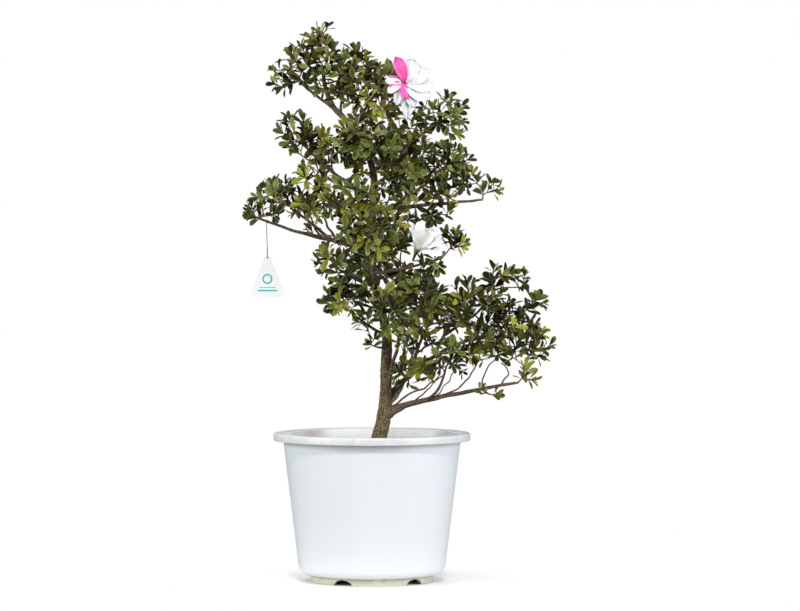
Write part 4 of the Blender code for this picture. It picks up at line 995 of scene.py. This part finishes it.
class Crown:
    """How the crown is shared out among its masses."""

    def __init__(self):
        rows = [(name, *ball) for name, (_, _, *balls) in MASSES.items() for ball in balls]
        for owner, throat, _, blossom in BLOSSOMS.values():
            tips = [Vector(tip) for tip, _, _ in blossom]
            reach = max(tip.length for tip in tips)
            centre = Vector(throat) + sum(tips, Vector()) / len(tips)
            rows.append((owner, *centre, BLOSSOM_SHARE * reach))
        self.owners = np.array([row[0] for row in rows])
        self.centres = np.array([row[1:4] for row in rows], float)
        self.radii = np.array([row[4] for row in rows], float)

    def holds(self, owner, place):
        """Whether a place lies in one mass's share of the crown."""
        power = ((self.centres - np.array(place)) ** 2).sum(1) - self.radii ** 2
        mine = self.owners == owner
        nearest = power[mine].min()
        home = int(np.where(mine, power, np.inf).argmin())
        spread = np.linalg.norm(self.centres - self.centres[home], axis=1)
        return bool(((power - nearest > 2 * spread * SHARE_MARGIN) | mine).all())

    def depth(self, place):
        """How deep a place lies in the crown, from 0 on its outside to 1."""
        inside = self.radii - np.linalg.norm(self.centres - np.array(place), axis=1)
        return float(np.clip((inside.max() - SHADE_START) / SHADE_DEPTH, 0.0, 1.0))

    def reached(self, points):
        """Whether all points lie near some ball, so that the outline stays as it is."""
        points = np.asarray(points, float)
        distance = np.linalg.norm(points[:, None] - self.centres, axis=2)
        return bool((distance < self.radii + OVERHANG).any(1).all())


crown = Crown()
print("balls of space:", len(crown.radii))

# %% [markdown]
# ## One leaf
# An azalea's leaf is small and obovate: a short stalk, widest past the middle, a round
# tip, a fold along the midrib and a slight curl back. A flat card with a picture would
# need an image, so the outline itself is cut from two rows of faces beside the midrib.

# %% The shape of a leaf
LEAF_STATIONS = ((0.0, 0.10), (0.10, 0.13), (0.27, 0.50), (0.46, 0.83), (0.64, 1.0),
                 (0.80, 0.90), (0.92, 0.58))    # share of the length, share of the width
LEAF_WIDTH = 0.39         # in lengths
LEAF_FOLD = 0.22          # how far the edges rise, in widths
BLADE_START = 2           # the station from which a leaf may not touch anything
LEAF_TIP = 3 * len(LEAF_STATIONS)
LEAF_FACES = [*net(len(LEAF_STATIONS), 3, closed=False),
              (LEAF_TIP - 3, LEAF_TIP - 2, LEAF_TIP), (LEAF_TIP - 2, LEAF_TIP - 1, LEAF_TIP)]
BLADE_FACES = [face for face in LEAF_FACES if min(face) >= 3 * BLADE_START]


def leaf_corners(root, direction, normal, length, curl, twist):
    """Corners of one leaf: left edge, midrib, right edge at each station, and the tip."""
    across = normal.cross(direction).normalized()
    up = direction.cross(across)
    width = length * LEAF_WIDTH / 2
    corners = []
    for along, wide in LEAF_STATIONS:
        middle = root + direction * length * along - up * length * curl * along ** 2
        edge = (across + up * twist * along) * width * wide
        rise = up * width * wide * LEAF_FOLD * (1 + along)
        corners += [middle + edge + rise, middle, middle - edge + rise]
    corners.append(root + direction * length - up * length * curl)
    return corners


# %% The bend of a twig
LEAD, ARRIVE = 0.35, 0.3  # how far a run keeps its first and its last heading


def bent_run(start, lead, end, arrive, steps):
    """Points of a run that leaves along one heading and arrives along another."""
    reach = (end - start).length
    controls = (start, start + lead * LEAD * reach, end - arrive * ARRIVE * reach, end)
    points = []
    for step in range(steps + 1):
        t = step / steps
        weights = ((1 - t) ** 3, 3 * t * (1 - t) ** 2, 3 * t * t * (1 - t), t ** 3)
        points.append(sum((place * w for place, w in zip(controls, weights)), Vector()))
    return points


print("faces in a leaf:", len(LEAF_FACES))


# %% Guards: what twigs and leaves must not cross
def tree_of(corners, faces):
    """A search tree of a shape's faces."""
    return BVHTree.FromPolygons([Vector(corner) for corner in corners], faces)


GUARD_MARGIN, GUARD_SIDES = 0.5, 10     # a guard is this much thicker than its limb
guards = {}
for name, (places, radii) in routes.items():
    guards[name] = tree_of(*loft(places, radii + GUARD_MARGIN, GUARD_SIDES))
for name in ("label", "label_wire"):
    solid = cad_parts[name].data
    guards[name] = tree_of([(vertex.co - POT_AXIS) / MM for vertex in solid.vertices],
                           [tuple(face.vertices) for face in solid.polygons])
print("guards:", len(guards))

# %% Sizes of the growth rule
STEM_RADIUS, TWIG_RADIUS, SHOOT_RADIUS = 1.7, 1.15, 0.8
STEM_LENGTH, STEM_SINK, STEM_TAPER = 7.0, 1.5, 0.9
TIP_SINK, WOOD_SINK = 0.8, 0.7        # how deep a stem starts, in mm, and in radii of its limb
TWIG_STEP, TWIG_SWELL, TWIG_UPTURN = 6.0, 80.0, 0.7
TWIG_LEAD, TWIG_WAY, TWIG_OUTWARD = 0.7, 0.5, 0.6
MASS_STEM_SIDES, TWIG_SIDES = 7, 6
PATH_WEIGHT, WOOD_TRIES = 0.4, 8
ROSETTE_SHARE = 70.0      # square of a ball's radius for each shoot in it
ROSETTE_TRIES, ROSETTE_REACH, ROSETTE_SPREAD = 24, 0.80, 0.42
LIMB_ROOM, OPEN_ROOM = 2.2, 40.0
LEAVES = (6, 10)          # in a rosette
LEAF_LENGTH, YOUNG_SHORTER = (17.0, 27.5), 0.30
LEAF_SPREAD, SPREAD_DRAW = (22.0, 78.0), (-8, 8)      # degrees from the shoot
TURN_DRAW, CURL_DRAW, TWIST_DRAW = (-0.15, 0.15), (-0.03, 0.2), (-0.35, 0.35)
LEAF_SIZES = (1.0, 0.82, 0.66)        # tried in turn, until a leaf is clear
ROOT_STEP, ROOT_STRETCH = 0.8, 1.1
BUD = ((-1.0, SHOOT_RADIUS), (1.3, 1.0), (3.2, 0.2))  # place along the shoot, radius
NEIGHBOURHOOD = 30.0      # cells in which leaves look for other leaves
GOLDEN_ANGLE = math.radians(137.5)
DEAD_SHARE = 0.003
SHADE_DRAW = (-0.35, 0.40)
shade_random = random.Random(f"{SEED} shade")

# %% What has grown, and what a new leaf may not cross
twigs, leaves, buds = Heap(), Heap(), Heap()
leaf_depths = []
grown_blades = defaultdict(list)


def cell(place):
    """The cell of the neighbourhood grid that a place is in."""
    return tuple(int(part // NEIGHBOURHOOD) for part in place)


def crossed(root, blade):
    """Whether a new blade cuts a leaf that has grown near its root."""
    x, y, z = cell(root)
    return any(blade.overlap(other) for i in (-1, 0, 1) for j in (-1, 0, 1) for k in (-1, 0, 1)
               for other in grown_blades[x + i, y + j, z + k])


# %% One mass of foliage
class Mass:
    """One mass of foliage, grown from its stem by the seeded rule."""

    def __init__(self, name):
        self.name = name
        self.random = random.Random(f"{SEED} {name}")
        carrier, height, *self.balls = MASSES[name]
        places, radii = routes[carrier]
        if height is None:
            self.heading = Vector(places[-1] - places[-2]).normalized()
            self.start = Vector(places[-1]) - self.heading * TIP_SINK
            self.stem_radius = float(radii[-1])
        else:
            index = int(np.clip(np.abs(places[:, 2] - height).argmin(), 1, len(places) - 2))
            run = Vector(places[index + 1] - places[index - 1]).normalized()
            heading = Vector(self.balls[0][:3]) - Vector(places[index])
            self.heading = (heading - heading.project(run)).normalized()
            self.start = Vector(places[index]) + self.heading * float(radii[index]) * WOOD_SINK
            self.stem_radius = STEM_RADIUS
        end = self.start + self.heading * STEM_LENGTH
        end_radius = self.stem_radius * STEM_TAPER
        self.stem = loft([self.start, end], [self.stem_radius, end_radius], MASS_STEM_SIDES)
        self.wood = [(end - self.heading * STEM_SINK, self.heading, STEM_LENGTH, end_radius)]

    def clear(self, tree):
        """Whether a shape touches no limb, label, wire or other mass's stem."""
        return not any(tree.overlap(guard) for owner, guard in guards.items() if owner != self.name)

    def shoot_places(self):
        """Spread-out places for the shoots' ends, more of them in larger balls."""
        places = []
        for x, y, z, radius in self.balls:
            for _ in range(max(2, round(radius ** 2 / ROSETTE_SHARE))):
                best, best_room = None, -1.0
                for _ in range(ROSETTE_TRIES):
                    offset = Vector([self.random.gauss(0, 1) for _ in range(3)]).normalized()
                    share = self.random.random() ** ROSETTE_SPREAD
                    place = Vector((x, y, z)) + offset * radius * ROSETTE_REACH * share
                    if not crown.holds(self.name, place):
                        continue
                    room = min([(place - other).length for other in places], default=OPEN_ROOM)
                    limb_room = min(guard.find_nearest(place)[3] for guard in guards.values())
                    room = min(room, LIMB_ROOM * limb_room)
                    if room > best_room:
                        best, best_room = place, room
                if best is not None:
                    places.append(best)
        return sorted(places, key=lambda place: (place - self.start).length)

    def grow_to(self, place):
        """Join a place to the wood that costs least, and return the shoot's heading."""
        middle = min((Vector(ball[:3]) for ball in self.balls), key=lambda c: (place - c).length)
        outward = (place - middle).normalized() + Vector((place.x, place.y, 0)).normalized()
        nearest = sorted(self.wood, key=lambda wood: (place - wood[0]).length + PATH_WEIGHT * wood[2])
        for point, lead, path, radius in nearest[:WOOD_TRIES]:
            way = (place - point).normalized()
            arrive = way * TWIG_WAY + outward * TWIG_OUTWARD + Vector((0, 0, TWIG_UPTURN))
            reach = (place - point).length
            steps = max(3, round(reach / TWIG_STEP))
            route = bent_run(point, (lead * TWIG_LEAD + way).normalized(), place,
                             arrive.normalized(), steps)
            foot = min(radius * STEM_TAPER, TWIG_RADIUS * (1 + reach / TWIG_SWELL))
            radii = [foot + (SHOOT_RADIUS - foot) * step / steps for step in range(steps + 1)]
            shape = loft(route, radii, TWIG_SIDES)
            if not self.clear(tree_of(*shape)):
                continue
            twigs.add(*shape)
            for step in range(1, steps + 1):
                heading = (route[step] - route[step - 1]).normalized()
                self.wood.append((route[step], heading, path + reach * step / steps, radii[step]))
            return (route[-1] - route[-2]).normalized()
        return None

    def rosette(self, place, heading):
        """Leaves in a whorl round a shoot's end, wide below and steep at the bud."""
        count = self.random.randint(*LEAVES)
        tint = self.random.choices(range(len(LEAF_TINTS)), TINT_SHARES)[0]
        turn = self.random.uniform(0, math.tau)
        side = heading.orthogonal().normalized()
        across = heading.cross(side)
        grown = 0
        for number in range(count):
            young = number / (count - 1)
            around = turn + number * GOLDEN_ANGLE + self.random.uniform(*TURN_DRAW)
            low, high = LEAF_SPREAD
            spread = math.radians(high - (high - low) * young + self.random.uniform(*SPREAD_DRAW))
            outward = side * math.cos(around) + across * math.sin(around)
            direction = (heading * math.cos(spread) + outward * math.sin(spread)).normalized()
            normal = (heading * math.sin(spread) - outward * math.cos(spread)).normalized()
            length = self.random.uniform(*LEAF_LENGTH) * (1.0 - YOUNG_SHORTER * young)
            curl, twist = self.random.uniform(*CURL_DRAW), self.random.uniform(*TWIST_DRAW)
            root = place - heading * ROOT_STEP * (count - 1 - number) * ROOT_STRETCH
            dead = self.random.random() < DEAD_SHARE
            for size in LEAF_SIZES:
                corners = leaf_corners(root, direction, normal, length * size, curl, twist)
                blade = tree_of(corners, BLADE_FACES)
                if crown.reached(corners) and self.clear(blade) and not crossed(root, blade):
                    leaves.add(corners, LEAF_FACES, DEAD_SLOT if dead else tint)
                    shade = crown.depth(corners[-1]) + shade_random.uniform(*SHADE_DRAW)
                    leaf_depths.extend([min(1.0, max(0.0, shade))] * len(corners))
                    grown_blades[cell(root)].append(blade)
                    grown += 1
                    break
        buds.add(*loft([place + heading * along for along, _ in BUD],
                       [radius for _, radius in BUD], TWIG_SIDES))
        return grown


# %% [markdown]
# ## The crown itself
# The stems go first, so that no twig of one mass runs through the stem of another.
# All leaves become one mesh and all twigs another: thousands of separate objects would
# be slow to move, and a joined mesh is as sharp.

# %% Grow every mass
masses = [Mass(name) for name in MASSES]
for mass in masses:
    twigs.add(*mass.stem)
    guards[mass.name] = tree_of(*mass.stem)
shoot_count = leaf_count = 0
for mass in masses:
    shoots = [(place, mass.grow_to(place)) for place in mass.shoot_places()]
    for place, heading in shoots:
        if heading is not None:
            leaf_count += mass.rosette(place, heading)
            shoot_count += 1
print("shoots", shoot_count, "leaves", leaf_count)

# %% Join the leaves, the twigs and the buds
BUD_TINT, STALK_TINT = list(LEAF_TINTS).index("leaf_olive"), list(LEAF_TINTS).index("leaf_green")
leaf_mesh = leaves.mesh("leaves")
# the rim layer marks each leaf's edges, where the painted highlight lies
rims = [1.0, 0.0, 1.0] * len(LEAF_STATIONS) + [1.0]
rims *= len(leaves.corners) // len(rims)
for layer, values in (("rim", rims), ("inside", leaf_depths)):
    leaf_mesh.attributes.new(layer, "FLOAT", "POINT").data.foreach_set("value", values)
add_piece("leaves", leaf_mesh, leaf_materials, "foliage", *FOLIAGE_NODES)
add_piece("twigs", twigs.mesh("twigs"), [twig_bark], "branch_bark", *FOLIAGE_NODES)
add_piece("leaf_buds", buds.mesh("leaf_buds"), [leaf_materials[BUD_TINT]], "foliage", *FOLIAGE_NODES)

# %% [markdown]
# ## Blossoms
# An azalea's blossom is a trumpet whose petals flare from a narrow throat, thin enough
# to ripple at the edge. One flower has pink petals, petals with a pink edge and white
# ones, the other is white with a yellow-green throat; the two whites are one colour,
# painted darker on the first flower, which faces the lights, and lighter on the second.
# Each petal is a curved net between its throat and its tip, so a few named tips give the
# whole flower, and stamens and a pistil finish it.

# %% One petal
PETAL_ALONG, PETAL_ACROSS, THROAT_ROWS = 14, 11, 2
PETAL_RISE, PETAL_LEAD = 0.42, 0.18       # how its middle line leaves the throat, in lengths
PETAL_FOOT, PETAL_SWELL, PETAL_WIDEST, PETAL_ROUND = 0.20, 0.80, 0.80, 1.25
TIP_START, TIP_LENGTH = 0.72, 0.28        # where its tip starts to close, in lengths
RIPPLE, FRILL, CUP = 0.036, 0.018, 0.11   # how far its surface leaves the flat
RIPPLE_WAVES, RIPPLE_LEAN, FRILL_WAVES, CUP_FADE = 5.5, 2.5, 23.0, 0.8
PINK_LEFT, PINK_RIGHT, PINK_FOOT, WHITE_TIP = 2, 1, PETAL_ALONG // 3, 3     # faces, edged petals


def petal_shape(throat, facing, tip, width, phase):
    """A net of corners over one petal, from the throat to its tip."""
    tip = Vector(tip)
    length = tip.length
    direction = tip.normalized()
    flat = (facing - facing.project(direction)).normalized()
    across = flat.cross(direction)
    control = facing * PETAL_RISE * length + direction * PETAL_LEAD * length
    corners = []
    for i in range(PETAL_ALONG + 1):
        u = i / PETAL_ALONG
        middle = control * 2 * u * (1 - u) + tip * u * u
        swell = math.sin(math.pi * min(1.0, u * PETAL_WIDEST) ** PETAL_ROUND)
        closing = max(0.0, (u - TIP_START) / TIP_LENGTH)
        outline = (PETAL_FOOT + PETAL_SWELL * swell) * math.sqrt(max(0.0, 1 - closing ** 2))
        for j in range(PETAL_ACROSS + 1):
            v = 2 * j / PETAL_ACROSS - 1
            ripple = RIPPLE * length * u * u * math.sin(RIPPLE_WAVES * v + phase + RIPPLE_LEAN * u)
            frill = FRILL * length * u * abs(v) ** 3 * math.sin(FRILL_WAVES * u + phase)
            cup = CUP * width * v * v * (1 - CUP_FADE * u)
            corners.append(throat + middle + across * v * width / 2 * outline
                           + flat * (ripple + frill + cup))
    return corners, net(PETAL_ALONG + 1, PETAL_ACROSS + 1, closed=False)


# %% The tints of one petal
def petal_slots(tint, throat_slot):
    """The tint of each face of one petal: its throat, then its own tint."""
    own = {"pink": PINK_SLOT, "brightened_white": BRIGHTENED_WHITE_SLOT, "edged": PINK_SLOT}.get(tint, WHITE_SLOT)
    slots = [own] * (PETAL_ALONG * PETAL_ACROSS)
    if tint == "edged":
        for i in range(PETAL_ALONG):
            for j in range(PETAL_ACROSS):
                inner = PINK_LEFT < j < PETAL_ACROSS - PINK_RIGHT and i > PINK_FOOT
                if inner or i > PETAL_ALONG - WHITE_TIP:
                    slots[i * PETAL_ACROSS + j] = WHITE_SLOT
    throat_faces = THROAT_ROWS * PETAL_ACROSS
    return [throat_slot] * throat_faces + slots[throat_faces:]


# %% Both blossoms
PHASE_STEP = 1.7          # so that no two petals ripple alike
STALK_STEPS, STALK_SIDES = 6, 8
STALK_RADII = [0.9] * STALK_STEPS + [1.5, 2.2]
STAMENS = {"pink_and_white": 7, "white": 3}
THROATS = {"pink_and_white": THROAT_SLOT, "white": CREAM_SLOT}
STAMEN_REACH, PISTIL_REACH, STAMEN_BEND, STAMEN_END = 21.0, 27.0, 0.5, 0.7
STAMEN_SIDE, STAMEN_TOP = (1.2, -0.3), 0.9
STAMEN_LEAN, STAMEN_DROP, PISTIL_LEAN, STAMEN_DRIFT = 7.0, 0.27, 2.3, 0.3
STAMEN_STEPS, STAMEN_SIDES = 8, 6
STAMEN_RADII = [0.30] * STAMEN_STEPS + [0.65]
FLOWER_NODES = ("foliage_top_right", "foliage_flower_right")

petals, flower_parts = Heap(), Heap()
for flower, (owner, throat, stalk_foot, blossom) in BLOSSOMS.items():
    throat = Vector(throat)
    foot = throat + Vector(stalk_foot)
    mass = next(mass for mass in masses if mass.name == owner)
    point, lead, _, _ = min(mass.wood, key=lambda wood: (wood[0] - foot).length)
    facing = (throat - foot).normalized()
    stalk = bent_run(point, lead, foot, facing, STALK_STEPS) + [throat]
    flower_parts.add(*loft(stalk, STALK_RADII, STALK_SIDES), 0)
    for number, (tip, width, tint) in enumerate(blossom):
        petals.add(*petal_shape(throat, facing, tip, width, PHASE_STEP * number),
                   petal_slots(tint, THROATS[flower]))
    middle = sum((Vector(tip) for tip, _, _ in blossom), Vector()) / len(blossom)
    for number in range(STAMENS[flower]):     # the first one is the pistil
        lean = Vector((*STAMEN_SIDE, STAMEN_TOP - STAMEN_DROP * number)) * STAMEN_LEAN
        reach = STAMEN_REACH if number else PISTIL_REACH
        control = throat + facing * reach * STAMEN_BEND
        end = (throat + facing * reach * STAMEN_END + lean * (1.0 if number else PISTIL_LEAN)
               + middle * STAMEN_DRIFT)
        run = [throat * (1 - t) ** 2 + control * 2 * t * (1 - t) + end * t * t
               for t in (step / STAMEN_STEPS for step in range(STAMEN_STEPS + 1))]
        flower_parts.add(*loft(run, STAMEN_RADII, STAMEN_SIDES), 1)
add_piece("petals", petals.mesh("petals"), petal_materials, "foliage", *FLOWER_NODES)
add_piece("blossom_stalks", flower_parts.mesh("blossom_stalks"),
          [leaf_materials[STALK_TINT], petal_materials[WHITE_SLOT]], "foliage", *FLOWER_NODES)

# %% [markdown]
# ## Tag
# A white plastic tag hangs in the crown on a dark wire. The tag is blank but for a
# plain ring and two ruled lines, which lie on it as thin plates: a printed picture
# would need an image. The wire keeps the frame's own shape and gets a better finish.

# %% Sizes of the tag, and flat plates
LABEL_X, LABEL_DEPTH, LABEL_APEX_HEIGHT = -143.0, -6.0, 452.0
LABEL_HEIGHT, LABEL_WIDTH, LABEL_CORNER, LABEL_THICKNESS = 62.5, 50.5, 4.0, 1.0
LABEL_HOLE, LABEL_HOLE_DROP, LABEL_TURN = 1.7, 11.0, -6.0
INK_LIFT, INK_HALF = 0.04, 0.02
HOLE_SIDES, RING_SIDES = 24, 48
RING_HEIGHT, RING_RADIUS, RING_WIDTH = -27.0, 7.0, 2.2
TAG_LINES = ((-44.0, 13.5, 2.2), (-39.2, 11.0, 1.0))     # height, half its length, thickness


def rounded(corners, radius, steps=8):
    """The outline of a polygon with round corners."""
    outline = []
    for index, corner in enumerate(corners):
        before = (Vector(corners[index - 1]) - Vector(corner)).normalized()
        after = (Vector(corners[(index + 1) % len(corners)]) - Vector(corner)).normalized()
        half = before.angle(after) / 2
        centre = Vector(corner) + (before + after).normalized() * radius / math.sin(half)
        start = Vector(corner) + before * radius / math.tan(half) - centre
        end = Vector(corner) + after * radius / math.tan(half) - centre
        outline += [centre + radius * start.slerp(end, step / steps) for step in range(steps + 1)]
    return outline


def flat_mesh(name, outlines, half_thickness):
    """A flat plate from closed outlines in millimetres, the inner ones cut out."""
    curve = bpy.data.curves.new(name, "CURVE")
    curve.dimensions, curve.fill_mode = "2D", "BOTH"
    curve.extrude = half_thickness * MM
    for outline in outlines:
        spline = curve.splines.new("POLY")
        spline.points.add(len(outline) - 1)
        for point, place in zip(spline.points, outline):
            point.co = (place[0] * MM, place[1] * MM, 0.0, 1.0)
        spline.use_cyclic_u = True
    return applied(placed(name, curve))


def circle(radius, sides, height=0.0):
    """The outline of a circle on the tag."""
    return [(radius * math.cos(i * math.tau / sides), height + radius * math.sin(i * math.tau / sides))
            for i in range(sides)]


def tag_piece(name, outlines, half_thickness, lift, finish):
    """A flat piece, upright at the tag's hole and lifted forwards from its middle."""
    mesh = flat_mesh(name, outlines, half_thickness)
    hole_place = Vector((LABEL_X, LABEL_DEPTH, LABEL_APEX_HEIGHT - LABEL_HOLE_DROP)) * MM
    mesh.transform(Matrix.Translation(hole_place) @ Matrix.Rotation(math.radians(LABEL_TURN), 4, "Z")
                   @ Matrix.Rotation(math.radians(90), 4, "X")
                   @ Matrix.Translation((0, 0, lift * MM)))
    add_piece(name, mesh, [finish], "label_plastic", "label")


# %% The tag
apex, base = LABEL_HOLE_DROP, LABEL_HOLE_DROP - LABEL_HEIGHT
label_corners = ((0, apex), (-LABEL_WIDTH / 2, base), (LABEL_WIDTH / 2, base))
tag_piece("tag_plate", (rounded(label_corners, LABEL_CORNER), circle(LABEL_HOLE, HOLE_SIDES)),
          LABEL_THICKNESS / 2, 0.0, label_finish)
front = LABEL_THICKNESS / 2 + INK_LIFT
ring = [circle(radius, RING_SIDES, RING_HEIGHT) for radius in (RING_RADIUS, RING_RADIUS - RING_WIDTH)]
tag_piece("tag_ring", ring, INK_HALF, front, label_ink)
for number, (low, half, thick) in enumerate(TAG_LINES):
    strip = ((-half, low), (half, low), (half, low + thick), (-half, low + thick))
    tag_piece(f"tag_line_{number}", (strip,), INK_HALF, front, label_ink)

# %% The tag's wire keeps its shape
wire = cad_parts["label_wire"]
wire.data.materials.clear()
wire.data.materials.append(wire_finish)
print("the wire keeps", len(wire.data.polygons), "faces")
